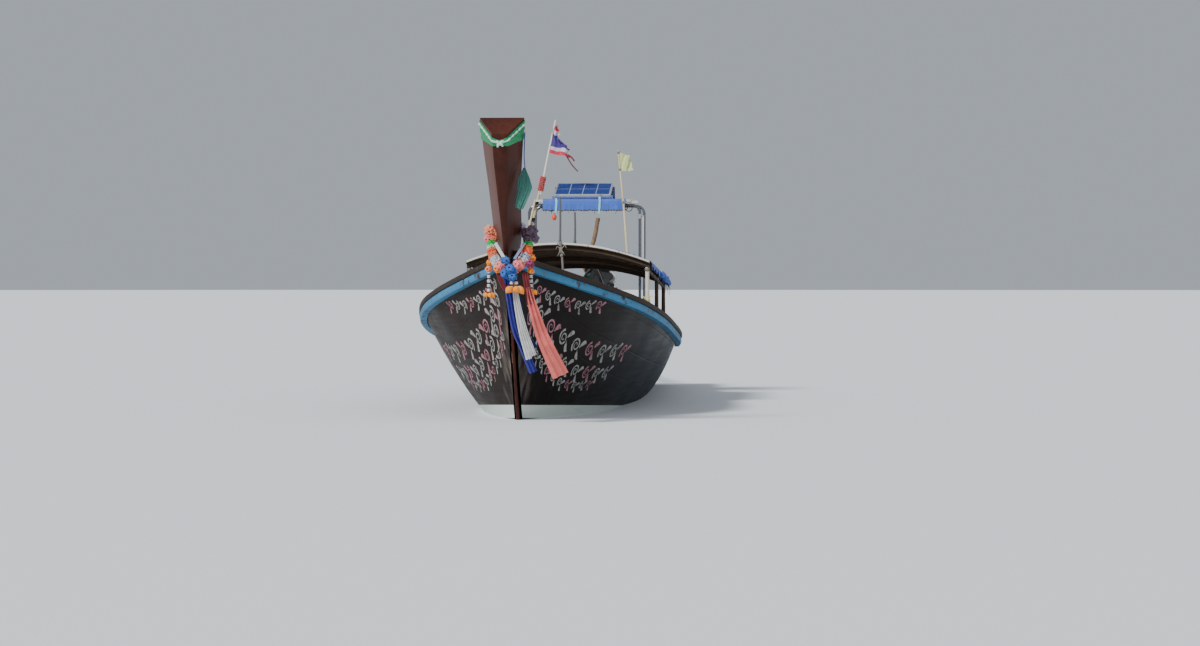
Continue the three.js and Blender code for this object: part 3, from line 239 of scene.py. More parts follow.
def tube_rings(points, radius, sides=12, steps=None):
    """Rings of a round bar along a smooth curve; radius is a number or a function of t."""
    points = [Vector(p) for p in points]
    if steps is None:
        steps = 8 * (len(points) - 1) if len(points) > 2 else 1
    rings = []
    for i in range(steps + 1):
        t = i / steps
        centre = smooth_point(points, t)
        run = heading(points, t).normalized()
        side = run.cross(Vector((0.013, 1, 0.007)))
        if side.length < 0.2:
            side = run.cross(Vector((1, 0.01, 0.02)))
        side.normalize()
        lift = run.cross(side)
        r = radius(t) if callable(radius) else radius
        rings.append([centre + (side * math.cos(a) + lift * math.sin(a)) * r for a in turns(sides)])
    return rings


def tube(points, radius, sides=12, steps=None):
    return loft(tube_rings(points, radius, sides, steps), 50)


def bowed(start, end, off=(0, 0, 0)):
    """The start, a middle point moved off the straight line, and the end."""
    return [start, start.lerp(end, 0.5) + Vector(off), end]


def coil_rings(start, run, wrap, cord, rounds, sides=6):
    """Rings of a cord wound round the line that runs on from start."""
    end = start + run
    run = (end - start).normalized()
    side = run.orthogonal().normalized()
    lift = run.cross(side)
    points = []
    for i in range(rounds * 12 + 1):
        a = 2 * math.pi * i / 12
        out = side * math.cos(a) + lift * math.sin(a)
        points.append(start.lerp(end, i / (rounds * 12)) + out * wrap)
    return tube_rings(points, cord, sides, len(points) - 1)


def ball_rings(centre, radius, height, angles, sides):
    """Rings of a ball; angles go from its top, at 0, down to its foot, at pi."""
    return [[centre + Vector((radius * math.sin(b) * math.cos(a), radius * math.sin(b) * math.sin(a),
                              height * math.cos(b))) for a in turns(sides)] for b in angles]


def run_length(points):
    return sum((b - a).length for a, b in zip(points, points[1:]))


def sheet_rings(grid, thickness):
    """Rings of a thin closed sheet from rows of points, each row running across the cloth."""
    rings = []
    for i, row in enumerate(grid):
        before, after = grid[max(0, i - 1)], grid[min(len(grid) - 1, i + 1)]
        top, under = [], []
        for j, point in enumerate(row):
            across = row[min(len(row) - 1, j + 1)] - row[max(0, j - 1)]
            through = across.cross(after[j] - before[j]).normalized() * (thickness / 2)
            top.append(point + through)
            under.append(point - through)
        rings.append(top + under[::-1])
    return rings


def cloth_piece(name, grid, thickness, look, replaces=()):
    """A finished sheet of cloth from rows of points."""
    obj = loft(sheet_rings(grid, thickness), 75)
    dress(obj, name, look, replaces)
    return obj


def along_line(points, t):
    """A point at t on the straight-sided line through points, even in length."""
    target = run_length(points) * t
    for a, b in zip(points, points[1:]):
        step = (b - a).length
        if target <= step and step > 0:
            return a.lerp(b, target / step)
        target -= step
    return points[-1].copy()


def cloth_grid(left, right, rows, columns, ripple):
    """Rows of points between two edges of a cloth; ripple(u, v) gives the offset of each point."""
    left, right = [Vector(p) for p in left], [Vector(p) for p in right]
    grid = []
    for i in range(rows + 1):
        v = i / rows
        a, b = along_line(left, v), along_line(right, v)
        places = [j / columns for j in range(columns + 1)]
        grid.append([a.lerp(b, u) + Vector(ripple(u, v)) for u in places])
    return grid


def joined(parts):
    select_only(*parts)
    bpy.ops.object.join()
    return bpy.context.object


def dress(obj, name, look, replaces=(), body="hull"):
    """Names a finished piece, gives it its material and says what carries it."""
    obj.name = name
    obj.data.name = name
    obj.data.materials.append(FINISHES[look])
    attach(obj, body)
    if replaces:
        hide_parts(*replaces)
    return obj


# Materials

class Tree:
    """A shader tree under way, with short ways to add its nodes. A value may be a socket to link."""

    def feed(self, socket, value):
        if isinstance(value, bpy.types.NodeSocket):
            self.tree.links.new(value, socket)
        else:
            socket.default_value = value

    def add(self, kind, values=None, **props):
        """A node with its properties and socket values set."""
        node = self.tree.nodes.new(kind)
        for key, value in props.items():
            setattr(node, key, value)
        for socket, value in (values or {}).items():
            self.feed(node.inputs[socket], value)
        return node

    def mix(self, factor, a, b):
        """Mixes two colours, each a socket or a plain colour."""
        a, b = (c if isinstance(c, bpy.types.NodeSocket) else (*c, 1) for c in (a, b))
        return self.add("ShaderNodeMix", {0: factor, 6: a, 7: b}, data_type="RGBA").outputs[2]

    def math(self, operation, *values):
        return self.add("ShaderNodeMath", dict(enumerate(values)), operation=operation).outputs[0]

    def product(self, first, *others):
        for other in others:
            first = self.math("MULTIPLY", first, other)
        return first

    def spread(self, value, low, high, to_low=0.0, to_high=1.0):
        """Takes low to high over to the second range, and holds the value inside it."""
        values = {"Value": value, "From Min": low, "From Max": high, "To Min": to_low, "To Max": to_high}
        return self.add("ShaderNodeMapRange", values).outputs["Result"]


class Effect(Tree):
    """A shared node group: its inputs with their defaults, and its number outputs."""

    def __init__(self, name, inputs, outputs):
        self.tree = bpy.data.node_groups.new(name, "ShaderNodeTree")
        for socket, value in inputs.items():
            kind = "NodeSocketFloat" if isinstance(value, float) else "NodeSocketVector"
            made = self.tree.interface.new_socket(socket, in_out="INPUT", socket_type=kind)
            if value is not None:
                made.default_value = value
        for socket in outputs:
            self.tree.interface.new_socket(socket, in_out="OUTPUT", socket_type="NodeSocketFloat")
        self.inputs = self.tree.nodes.new("NodeGroupInput").outputs
        self.results = self.tree.nodes.new("NodeGroupOutput").inputs

    def give(self, **results):
        for name, value in results.items():
            self.feed(self.results[name], value)


def build_grain():
    """Long grain and blotches of timber along one axis: a tone and a height."""
    look = Effect("Timber grain", {"Vector": None, "Stretch": (40.0, 1.5, 40.0), "Blotch Scale": 2.0},
                  ("Tone", "Height"))
    place = look.inputs["Vector"]
    stretch = look.add("ShaderNodeVectorMath", {0: place, 1: look.inputs["Stretch"]},
                       operation="MULTIPLY")
    fine = look.add("ShaderNodeTexNoise", {"Vector": stretch.outputs[0], "Scale": 1.0, "Detail": 6.0,
                                           "Roughness": 0.6})
    wide = look.add("ShaderNodeTexNoise", {"Vector": place, "Scale": look.inputs["Blotch Scale"],
                                           "Detail": 4.0, "Roughness": 0.65})
    blotches = look.product(wide.outputs["Fac"], 0.55)
    look.give(Tone=look.math("MULTIPLY_ADD", fine.outputs["Fac"], 0.45, blotches),
              Height=fine.outputs["Fac"])


def build_wear():
    """Worn patches: a mask of ragged spots, denser as the amount rises."""
    look = Effect("Worn patches", {"Vector": None, "Scale": 6.0, "Amount": 0.4, "Softness": 0.06},
                  ("Mask",))
    values = {"Vector": look.inputs["Vector"], "Scale": look.inputs["Scale"], "Detail": 9.0,
              "Roughness": 0.68}
    noise = look.add("ShaderNodeTexNoise", values)
    edge = look.math("SUBTRACT", 1.0, look.inputs["Amount"])
    over = look.math("SUBTRACT", noise.outputs["Fac"], edge)
    look.give(Mask=look.spread(over, 0.0, look.inputs["Softness"]))


def build_planks():
    """Board joints across one axis: a groove height and a tone of its own for each board."""
    look = Effect("Board joints", {"Across": 0.0, "Width": 0.12, "Groove": 0.03}, ("Groove", "Board"))
    ratio = look.math("DIVIDE", look.inputs["Across"], look.inputs["Width"])
    tone = look.add("ShaderNodeTexWhiteNoise", {"W": look.math("FLOOR", ratio)}, noise_dimensions="1D")
    edge = look.math("PINGPONG", look.math("FRACT", ratio), 0.5)
    look.give(Groove=look.spread(edge, 0.0, look.inputs["Groove"]), Board=tone.outputs["Value"])


def build_weave():
    """Plain weave from a surface's own UV map: a height of crossing threads."""
    look = Effect("Cloth weave", {"Vector": None, "Threads": 300.0}, ("Height",))
    values = {0: look.inputs["Vector"], "Scale": look.inputs["Threads"]}
    scaled = look.add("ShaderNodeVectorMath", values, operation="SCALE")
    split = look.add("ShaderNodeSeparateXYZ", {0: scaled.outputs[0]})
    look.give(Height=look.product(*(look.math("SINE", split.outputs[axis]) for axis in "XY")))


class Finish(Tree):
    """A material under way: its tree, its shader and the shared coordinates."""

    def __init__(self, name, roughness=0.6, metallic=0.0, **shader_values):
        self.material = bpy.data.materials.new(name)
        self.material.use_nodes = True
        self.tree = self.material.node_tree
        self.shader = self.tree.nodes["Principled BSDF"]
        for socket, value in {"Roughness": roughness, "Metallic": metallic, **shader_values}.items():
            self.shader.inputs[socket.replace("_", " ")].default_value = value
        self.place = self.tree.nodes.new("ShaderNodeTexCoord")

    def effect(self, name, values=None, coordinates="Object"):
        """A shared node group, fed with the surface's coordinates where it takes them."""
        node = self.add("ShaderNodeGroup", node_tree=bpy.data.node_groups[name])
        for socket, value in (values or {}).items():
            self.feed(node.inputs[socket], value)
        if "Vector" in node.inputs:
            self.feed(node.inputs["Vector"], self.place.outputs[coordinates])
        return node

    def worn(self, amount, scale, softness=0.06):
        """The mask of the surface's worn patches."""
        values = {"Amount": amount, "Scale": scale, "Softness": softness}
        return self.effect("Worn patches", values).outputs["Mask"]

    def weave(self, threads):
        """Gives the surface a cloth's weave, with so many threads over its whole UV map."""
        node = self.effect("Cloth weave", {"Threads": threads}, "UV")
        self.bump(node.outputs["Height"], 0.25, 0.0008)

    def split(self, coordinates="Object"):
        return self.add("ShaderNodeSeparateXYZ", {0: self.place.outputs[coordinates]}).outputs

    def bump(self, height, strength=0.3, distance=0.002):
        node = self.add("ShaderNodeBump", {"Height": height, "Strength": strength, "Distance": distance})
        self.feed(self.shader.inputs["Normal"], node.outputs[0])

    def colour(self, socket):
        self.feed(self.shader.inputs["Base Color"], socket)

    def roughness(self, socket):
        self.feed(self.shader.inputs["Roughness"], socket)


def timber(name, dark, light, stretch=(40.0, 1.5, 40.0), roughness=(0.5, 0.8), worn=None,
           wear=0.3, boards=None, board_axis=0, bump=0.35, painted_light_face=None):
    """Timber whose grain runs where stretch is small, with boards, worn patches and painted light on one
    face.
    """
    look = Finish(name, Specular_IOR_Level=0.2)
    grain = look.effect("Timber grain", {"Stretch": stretch})
    tone = look.spread(grain.outputs["Tone"], 0.3, 0.7)
    shade = look.mix(tone, dark, light)
    height = grain.outputs["Height"]
    if boards:
        joints = look.effect("Board joints", {"Width": boards, "Across": look.split()[board_axis]})
        own = look.spread(joints.outputs["Board"], 0.0, 1.0, 0.0, 0.5)
        shade = look.mix(own, shade, tuple(0.5 * (a + b) * 0.75 for a, b in zip(dark, light)))
        shade = look.mix(joints.outputs["Groove"], tuple(a * 0.25 for a in dark), shade)
        height = look.math("MULTIPLY_ADD", joints.outputs["Groove"], 3.0, height)
    if worn:
        shade = look.mix(look.worn(wear, 5.0), shade, worn)
    # Painted light: one face, from a share of the way round, is made paler as if the sun fell on it.
    if painted_light_face:
        lit_from, pale = painted_light_face
        face = look.math("GREATER_THAN", look.split("UV")[1], lit_from)
        share = look.product(face, 0.5, look.spread(tone, 0.0, 1.0, 0.7, 1.0))
        shade = look.mix(share, shade, pale)
    look.colour(shade)
    look.roughness(look.spread(tone, 0.0, 1.0, *roughness))
    look.bump(height, bump, 0.003)
    return look.material


def cloth(name, dark, light, threads=300.0, roughness=0.85, sheen=0.3):
    """Woven cloth on its own UV map, with painted shade and light in soft patches of its colour in the
    folds and in the light.
    """
    look = Finish(name, roughness=roughness, Sheen_Weight=sheen)
    # Painted shade and light: noise patches mix the colour in the folds with the colour in the light.
    look.colour(look.mix(look.worn(0.5, 7.0, 0.35), dark, light))
    look.weave(threads)
    return look.material


def metal(name, base, spot, roughness=(0.35, 0.6), metallic=0.8, wear=0.35, scale=9.0, bump=0.15):
    """Metal or enamel with ragged spots of rust, dirt or bare metal."""
    look = Finish(name, metallic=metallic)
    patches = look.worn(wear, scale, 0.15)
    look.colour(look.mix(patches, base, spot))
    look.roughness(look.spread(patches, 0.0, 1.0, *roughness))
    look.bump(patches, bump, 0.001)
    return look.material


STRAKES = 9
STRIPE_LOW, STRIPE_HIGH = 0.016, 0.126
STRIPE_SLOPE = 0.037


def build_hull_finish(name, dark, light, worn, wear, gloss, scuff, bloom):
    """Old dark hull paint with strake joints, worn wood, run marks, the pale boot stripe and a painted
    reflection.

    wear is the share of worn wood, scuff how bare the planks are rubbed beside the stem, and bloom how
    strongly the painted bluish-grey reflection of sky and water shows toward the stern.
    """
    look = Finish(name, Coat_Roughness=0.3, Coat_Weight=gloss, Specular_IOR_Level=0.05)
    grain = look.effect("Timber grain", {"Stretch": (1.5, 1.2, 30.0), "Blotch Scale": 1.3})
    tone = look.spread(grain.outputs["Tone"], 0.3, 0.7)
    shade = look.mix(tone, dark, light)
    values = {"Vector": look.place.outputs["Object"], "Scale": (14, 14, 1.2)}
    stretch = look.add("ShaderNodeMapping", values)
    noise = look.add("ShaderNodeTexNoise", {"Vector": stretch.outputs[0], "Scale": 1.0, "Detail": 5.0})
    runs = noise.outputs["Fac"]
    shade = look.mix(look.spread(runs, 0.58, 0.85, 0.0, 0.35), shade, worn)
    shade = look.mix(look.product(look.worn(wear, 4.0, 0.12), 0.4), shade, worn)
    place = look.split()
    beside = look.spread(look.math("ABSOLUTE", place[0]), 0.04, 0.15, 1.0, 0.0)
    height = look.product(look.spread(place[2], 0.08, 0.25), look.spread(place[2], 0.7, 0.95, 1.0, 0.0))
    rubbed = look.product(beside, height, look.spread(runs, 0.42, 0.62), scuff)
    shade = look.mix(rubbed, shade, (0.3, 0.24, 0.2))
    # Painted reflection: a bluish grey of sky and water over the paint, stronger toward the stern.
    aft = look.spread(place[1], -4.2, 0.0, 0.0, bloom)
    reflection_share = look.product(aft, look.spread(tone, 0.0, 1.0, 0.5, 1.0))
    shade = look.mix(reflection_share, shade, (0.032, 0.044, 0.058))
    uv = look.split("UV")
    joints = look.effect("Board joints", {"Across": uv[1], "Width": 0.5 / STRAKES, "Groove": 0.035})
    groove = look.spread(joints.outputs["Groove"], 0, 1, 0.45, 0.0)
    shade = look.mix(groove, shade, (0.006, 0.005, 0.004))
    drop = look.product(look.math("ADD", place[1], WATERLINE_LENGTH / 2), STRIPE_SLOPE)
    level = look.math("ADD", place[2], drop)
    outer = look.math("LESS_THAN", uv[1], 0.5)
    whole = look.math("SUBTRACT", 1.0, look.worn(0.36, 16.0, 0.1))
    over = look.math("GREATER_THAN", level, STRIPE_LOW)
    under = look.math("LESS_THAN", level, STRIPE_HIGH)
    shade = look.mix(look.product(over, under, outer, whole), shade, (0.62, 0.68, 0.62))
    below = look.product(look.spread(level, -0.02, STRIPE_LOW, 1.0, 0.0), outer)
    shade = look.mix(below, shade, (0.03, 0.045, 0.035))
    bare = look.mix(tone, (0.035, 0.02, 0.012), (0.1, 0.06, 0.036))
    look.colour(look.mix(outer, bare, shade))
    look.roughness(look.spread(tone, 0.0, 1.0, 0.34, 0.62))
    height = look.math("MULTIPLY_ADD", joints.outputs["Groove"], 1.6, grain.outputs["Height"])
    look.bump(height, 0.4, 0.003)
    return look.material


def build_panel_finish():
    """Dark solar cells in four columns with thin silver lines, under glass."""
    look = Finish("Solar cells", roughness=0.6, Specular_IOR_Level=0.1)
    place = look.split()
    low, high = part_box("solar_cells")
    grooves = []
    for axis, cells, groove in ((0, 4, 0.03), (1, 2, 0.02)):
        across = look.math("SUBTRACT", place[axis], low[axis])
        values = {"Across": across, "Width": (high[axis] - low[axis]) / cells, "Groove": groove}
        grooves.append(look.effect("Board joints", values).outputs["Groove"])
    cell = look.product(*grooves)
    flake = look.add("ShaderNodeTexVoronoi", {"Vector": look.place.outputs["Object"], "Scale": 60.0})
    tone = look.spread(flake.outputs["Distance"], 0, 0.6)
    blue = look.mix(tone, (0.007, 0.016, 0.08), (0.016, 0.04, 0.19))
    look.colour(look.mix(cell, (0.45, 0.48, 0.5), blue))
    return look.material


def build_striped_finish():
    """A faded flag in five bands down its height, the middle one the widest."""
    look = Finish("Striped flag", roughness=0.85)
    down = look.split("UV")[0]
    red, white, violet = (0.5, 0.03, 0.06), (0.5, 0.46, 0.52), (0.055, 0.035, 0.2)
    shade = red
    for edge, tint in ((0.16, white), (0.3, violet), (0.76, white), (0.87, red)):
        shade = look.mix(look.math("GREATER_THAN", down, edge), shade, tint)
    look.colour(look.mix(look.product(look.worn(0.45, 12.0, 0.2), 0.4), shade, (0.42, 0.36, 0.42)))
    look.weave(260.0)
    return look.material


def darker(tint):
    """The same colour darker, as painted shade in its folds."""
    return tuple(0.55 * c for c in tint)


def build_finishes(tints):
    """All the materials by the name the pieces ask for; tints holds the colours a user may change."""
    for build in (build_grain, build_wear, build_planks, build_weave):
        build()
    upright, lengthwise, crosswise = (40, 40, 1.5), (40, 1.5, 40), (1.5, 40, 40)
    # Each side: dark, light, worn colour, wear, gloss, scuff, and bloom, the painted reflection's
    # strength.
    port = ((0.004, 0.003, 0.0025), (0.013, 0.0085, 0.0065), (0.05, 0.04, 0.034),
            0.36, 0.03, 0.3, 0.7)
    starboard = ((0.007, 0.0045, 0.0035), (0.024, 0.014, 0.01), (0.07, 0.05, 0.036),
                 0.4, 0.015, 0.7, 0.1)
    finishes = {
        "hull_port": build_hull_finish("Hull paint port", *port),
        "hull_starboard": build_hull_finish("Hull paint starboard", *starboard),
        # The stem's starboard face gets painted light.
        "stem": timber("Stem timber", (0.018, 0.004, 0.002), (0.078, 0.016, 0.007), upright,
                       (0.42, 0.65), (0.12, 0.055, 0.036), 0.31, painted_light_face=(11 / 12, (0.2, 0.105, 0.09))),
        "keel": timber("Keel timber", (0.012, 0.008, 0.006), (0.035, 0.021, 0.014), lengthwise,
                       (0.4, 0.6), (0.12, 0.1, 0.08)),
        "cap": timber("Cap rail timber", (0.014, 0.009, 0.007), (0.05, 0.034, 0.025), lengthwise,
                      (0.55, 0.8), (0.22, 0.2, 0.18), 0.4),
        "inner": timber("Inner timber", (0.06, 0.034, 0.02), (0.17, 0.105, 0.062), upright,
                        (0.6, 0.85), (0.2, 0.15, 0.11), 0.3),
        "deck": timber("Deck boards", (0.11, 0.075, 0.048), (0.27, 0.19, 0.125), lengthwise,
                       (0.65, 0.9), (0.19, 0.15, 0.115), 0.36, boards=0.115),
        "thwart": timber("Thwart boards", (0.12, 0.07, 0.04), (0.3, 0.19, 0.11), crosswise,
                         (0.55, 0.8), (0.2, 0.15, 0.11), 0.33, boards=0.13, board_axis=1),
        "roof_under": timber("Roof underside", (0.03, 0.02, 0.014), (0.13, 0.085, 0.05), lengthwise,
                             (0.6, 0.85), (0.22, 0.15, 0.09), 0.4, boards=0.094),
        "roof_frame": timber("Roof frame", (0.03, 0.02, 0.014), (0.08, 0.055, 0.035), upright,
                             (0.6, 0.85)),
        "cream": timber("Cream paint", (0.6, 0.57, 0.48), (0.74, 0.72, 0.65), lengthwise,
                        (0.5, 0.7), (0.3, 0.26, 0.2), 0.3, boards=0.289, bump=0.12),
        "pale": timber("Pale batten", (0.5, 0.46, 0.36), (0.68, 0.64, 0.54), crosswise,
                       (0.6, 0.8), bump=0.2),
        "worn_stick": timber("Worn stick", (0.1, 0.085, 0.08), (0.28, 0.24, 0.22), upright,
                             (0.5, 0.7), bump=0.2),
        "bamboo": timber("Bamboo", (0.45, 0.36, 0.2), (0.66, 0.56, 0.36), upright,
                         (0.45, 0.65), bump=0.15),
        "rail": timber("Blue rail paint", darker(tints.rail), tints.rail, (12, 4, 12),
                       (0.5, 0.75), (0.05, 0.03, 0.025), 0.44, bump=0.3),
        "cells": build_panel_finish(),
        "striped": build_striped_finish(),
    }
    # Each metal or enamel: name, base, spots, roughness, metallic, share of spots, their scale, bump.
    enamels = {
        "steel": ("Steel tube", (0.16, 0.17, 0.19), (0.09, 0.08, 0.075), (0.22, 0.45), 0.9, 0.42),
        "aluminium": ("Panel tray", (0.62, 0.63, 0.65), (0.42, 0.42, 0.42), (0.3, 0.5), 0.9),
        "alloy": ("Cast alloy", (0.4, 0.41, 0.41), (0.16, 0.13, 0.1), (0.45, 0.75), 0.7, 0.42),
        "engine": ("Engine enamel", (0.045, 0.11, 0.085), (0.05, 0.035, 0.025), (0.35, 0.7), 0.2, 0.42),
        "iron": ("Frame paint", (0.12, 0.125, 0.13), (0.14, 0.07, 0.035), (0.45, 0.8), 0.35, 0.45),
        "rust": ("Rusty exhaust", (0.2, 0.12, 0.06), (0.1, 0.075, 0.05), (0.75, 0.9), 0.2, 0.5,
                 14.0, 0.5),
        "black": ("Black enamel", (0.012, 0.012, 0.013), (0.05, 0.045, 0.04), (0.35, 0.7), 0.1, 0.36),
        "rubber": ("Black rubber", (0.014, 0.014, 0.014), (0.04, 0.038, 0.035), (0.6, 0.85), 0.0, 0.4),
        "bronze": ("Propeller bronze", (0.44, 0.3, 0.12), (0.16, 0.14, 0.08), (0.22, 0.5), 1.0, 0.38),
        "red_tin": ("Red tin", (0.42, 0.03, 0.02), (0.1, 0.05, 0.03), (0.35, 0.7), 0.2, 0.35),
        "pink_paint": ("Faded pink paint", (0.33, 0.13, 0.16), (0.05, 0.03, 0.028), (0.6, 0.8),
                       0.0, 0.5, 26.0),
        "white_paint": ("Faded white paint", (0.3, 0.285, 0.265), (0.05, 0.04, 0.035), (0.6, 0.8),
                        0.0, 0.5, 24.0),
        "beads": ("White beads", (0.66, 0.66, 0.66), (0.4, 0.4, 0.4), (0.4, 0.6), 0.0, 0.4, 30.0),
        "float": ("Orange float", (0.62, 0.06, 0.02), (0.3, 0.05, 0.03), (0.4, 0.6), 0.0, 0.4, 30.0),
    }
    # Each cloth: name, colour in the folds, colour in the light, threads, roughness, sheen.
    cloths = {
        "tarp": ("Blue tarp", darker(tints.tarp), tints.tarp, 500.0, 0.6, 0.05),
        "green": ("Green ribbon", darker(tints.head_band), tints.head_band, 180.0, 0.6, 0.05),
        "mint": ("Mint ribbon", (0.34, 0.64, 0.5), (0.64, 0.84, 0.74), 180.0, 0.6, 0.1),
        "teal": ("Teal cloth", (0.035, 0.14, 0.115), (0.09, 0.25, 0.2), 300.0, 0.85, 0.05),
        "blue": ("Blue ribbon", (0.012, 0.012, 0.18), (0.03, 0.03, 0.34), 120.0, 0.6, 0.05),
        "white": ("White ribbon", (0.5, 0.49, 0.48), (0.84, 0.82, 0.78), 30.0, 0.7, 0.05),
        "lilac": ("Lilac ribbon", (0.17, 0.17, 0.3), (0.38, 0.38, 0.56), 30.0, 0.7, 0.05),
        "coral": ("Coral ribbon", darker(tints.coral), tints.coral, 120.0, 0.65, 0.05),
        "dark_red": ("Dark red ribbon", (0.12, 0.006, 0.01), (0.24, 0.015, 0.02), 120.0, 0.7, 0.05),
        "pale_flag": ("Pale flag", (0.5, 0.55, 0.24), (0.66, 0.68, 0.42), 260.0),
        "red_wrap": ("Red pole wrap", (0.4, 0.02, 0.02), (0.6, 0.08, 0.06), 220.0),
        "strap": ("Light blue strap", (0.2, 0.5, 0.62), (0.4, 0.68, 0.76), 160.0),
        "rope": ("Grey rope", (0.2, 0.18, 0.15), (0.36, 0.33, 0.27), 90.0),
        "yellow_rope": ("Yellow rope", (0.62, 0.5, 0.12), (0.75, 0.68, 0.36), 90.0),
    }
    finishes.update({name: metal(*values) for name, values in enamels.items()})
    finishes.update({name: cloth(*values) for name, values in cloths.items()})
    return finishes


FINISHES = {}


def petal_finish(name):
    """Makes one flower colour with paler patches of painted light, and returns its name."""
    if name not in FINISHES:
        tint = TINTS[name]
        # The paler colour is painted light.
        paler = tuple(min(1.0, 0.12 + 0.9 * c) for c in tint)
        FINISHES[name] = cloth(name, tint, paler, 60.0, 0.85, 0.05)
    return name


# Hull

def hull_normal(t, v):
    across = hull_point(t, min(1, v + 0.01)) - hull_point(t, max(0, v - 0.01))
    run = hull_point(min(1, t + 0.005), v) - hull_point(max(0, t - 0.005), v)
    normal = across.cross(run)
    return (-normal if normal.x < 0 else normal).normalized()


def mirrored(points, side):
    return [Vector((side * p.x, p.y, p.z)) for p in points]


KEEL_HALF = 0.0302
TRANSOM_FACE = along(9.5597)
SIDES = {"port": 1, "starboard": -1}


def hull_skin(side):
    """One side's planking, stopped short of the keel and the transom."""
    rings = []
    steps, girth = 110, 14
    for i in range(steps + 1):
        t = i / steps
        outer = [hull_point(t, 0.01 + 0.99 * j / girth) for j in range(girth + 1)]
        inner = [hull_point(t, 0.01 + 0.99 * j / girth, PLANK) for j in range(girth, -1, -1)]
        ring = outer + inner
        for point in ring:
            point.x = max(point.x, KEEL_HALF)
            point.y = min(point.y, TRANSOM_FACE)
        rings.append(mirrored(ring, side))
    return loft(rings, 40)


def rail_rings(side, profile, steps=120):
    """Rings of a rail along the sheer: profile(t) gives (out, up) pairs square to the plan."""
    rings = []
    for i in range(steps + 1):
        t = i / steps
        here = smooth_point(SHEER, t)
        run = heading(SHEER, t, 0.004)
        out = Vector((run.y, -run.x, 0)).normalized()
        ring = [here + out * off + above(up) for off, up in profile(t)]
        for point in ring:
            point.x = max(point.x, 0.0015)
        rings.append(mirrored(ring, side))
    return rings


def rub_profile(t):
    """Half-round outside, flat against the flared planks."""
    keel_side = smooth_point(BILGE, t)
    sheer = smooth_point(SHEER, t)
    flare = (sheer.x - keel_side.x) / (sheer.z - keel_side.z)
    low_in = -0.062 * flare * 0.85 + 0.004
    rounded = [(0.030, -0.062), (0.0365, -0.052), (0.038, -0.031), (0.0365, -0.010), (0.030, -0.001)]
    return [(low_in, -0.062), *rounded, (0.002, -0.001)]


def cap_profile(_):
    ease = 0.007
    low, high, inner, outer = 0.0004, 0.046, -0.078, 0.046
    return [(inner, low), (outer - ease, low), (outer, low + ease), (outer, high - ease),
            (outer - ease, high), (inner + ease, high), (inner, high - ease)]


STEM_EDGES = [Vector((*front, *back)) for front, back, _, _ in STEM_SECTIONS]
STEM_HALVES = [Vector((front, back)) for _, _, front, back in STEM_SECTIONS]


def stem_corners(t):
    """The stem's four corners at t up its length, from the front on starboard, by port, to the back."""
    edge, half = smooth_point(STEM_EDGES, t), smooth_point(STEM_HALVES, t)
    front, back = (along(edge[0]), edge[1]), (along(edge[2]), edge[3])
    return [Vector((-half[0], *front)), Vector((half[0], *front)), Vector((half[1], *back)),
            Vector((-half[1], *back))]


def stem_ring(t):
    """One cross-section of the stem post with eased corners."""
    corners = stem_corners(t)
    ring = []
    for i, corner in enumerate(corners):
        before = corners[i - 1] - corner
        after = corners[(i + 1) % 4] - corner
        ease = min(0.008, before.length * 0.3, after.length * 0.3)
        before, after = before.normalized() * ease, after.normalized() * ease
        ring += [corner + before, corner + (before + after) * 0.3, corner + after]
    return ring


class HullSizes(bpy.types.PropertyGroup):
    """Sizes of the hull's fine work."""

    vine_rows: bpy.props.IntProperty(
        name="Vine rows", description="Rows of the painted vine on each bow", default=4, min=1, max=4)
    bolt_spacing: bpy.props.FloatProperty(
        name="Bolt spacing", description="Distance between rail bolts", default=0.45, min=0.2,
        unit="LENGTH")


def colour_setting(name, description, default):
    return bpy.props.FloatVectorProperty(
        name=name, description=description, subtype="COLOR", default=default, min=0, max=1)


class BoatColours(bpy.types.PropertyGroup):
    """The colours that differ from one boat to the next."""

    rail: colour_setting("Rail", "Paint of the rub rails", (0.062, 0.25, 0.45))
    tarp: colour_setting("Tarp", "Canopy tarp and roof cover", (0.055, 0.17, 0.74))
    head_band: colour_setting("Head band", "Ribbon round the stem's head", (0.0, 0.38, 0.12))
    coral: colour_setting("Long ribbon", "The widest of the hanging ribbons", (0.95, 0.2, 0.17))


class DressSizes(bpy.types.PropertyGroup):
    """Sizes of the cloth work."""

    petals: bpy.props.IntProperty(
        name="Frills", description="Frilled discs in each bloom of the garland", default=4, min=2, max=8)
    folds: bpy.props.FloatProperty(
        name="Folds", description="Lengthwise folds in each hanging ribbon", default=2.4, min=0.5, max=6)
    cover_inner: bpy.props.FloatProperty(
        name="Cover edge", description="Distance of the roof cover's inner edge from the centreline",
        default=0.42, min=0, max=0.8, unit="LENGTH")


def paint_nodes(looks):
    """Gives CAD parts that stay as they are their material; looks maps it to their names."""
    for look, nodes in looks.items():
        for node in nodes:
            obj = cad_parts[node]
            obj.data.materials.clear()
            obj.data.materials.append(FINISHES[look])


class LONGTAIL_OT_hull(bpy.types.Operator):
    """Builds the plank skins, keel finish, ribs, decks and thwarts"""

    bl_idname = "longtail.hull"
    bl_label = "Hull"

    def execute(self, context):
        for word, side in SIDES.items():
            dress(hull_skin(side), f"hull_skin_{word}", f"hull_{word}",
                  (f"planking_{word}",))
        steps = 90
        stem = loft([stem_ring(i / steps) for i in range(steps + 1)], 50)
        dress(stem, "stem_timber", "stem", ("stem_post",))
        paint_nodes({
            "keel": ("keel", "transom"),
            "inner": ("frames", "foredeck_beam", "stern_deck_beam", "mooring_bitt", "engine_beam"),
            "deck": ("floorboards", "foredeck", "stern_deck"),
            "thwart": ("thwart_1", "thwart_2", "thwart_3", "thwart_4"),
        })
        return {"FINISHED"}


BOLT_STATIONS = (-0.3, 9.4)


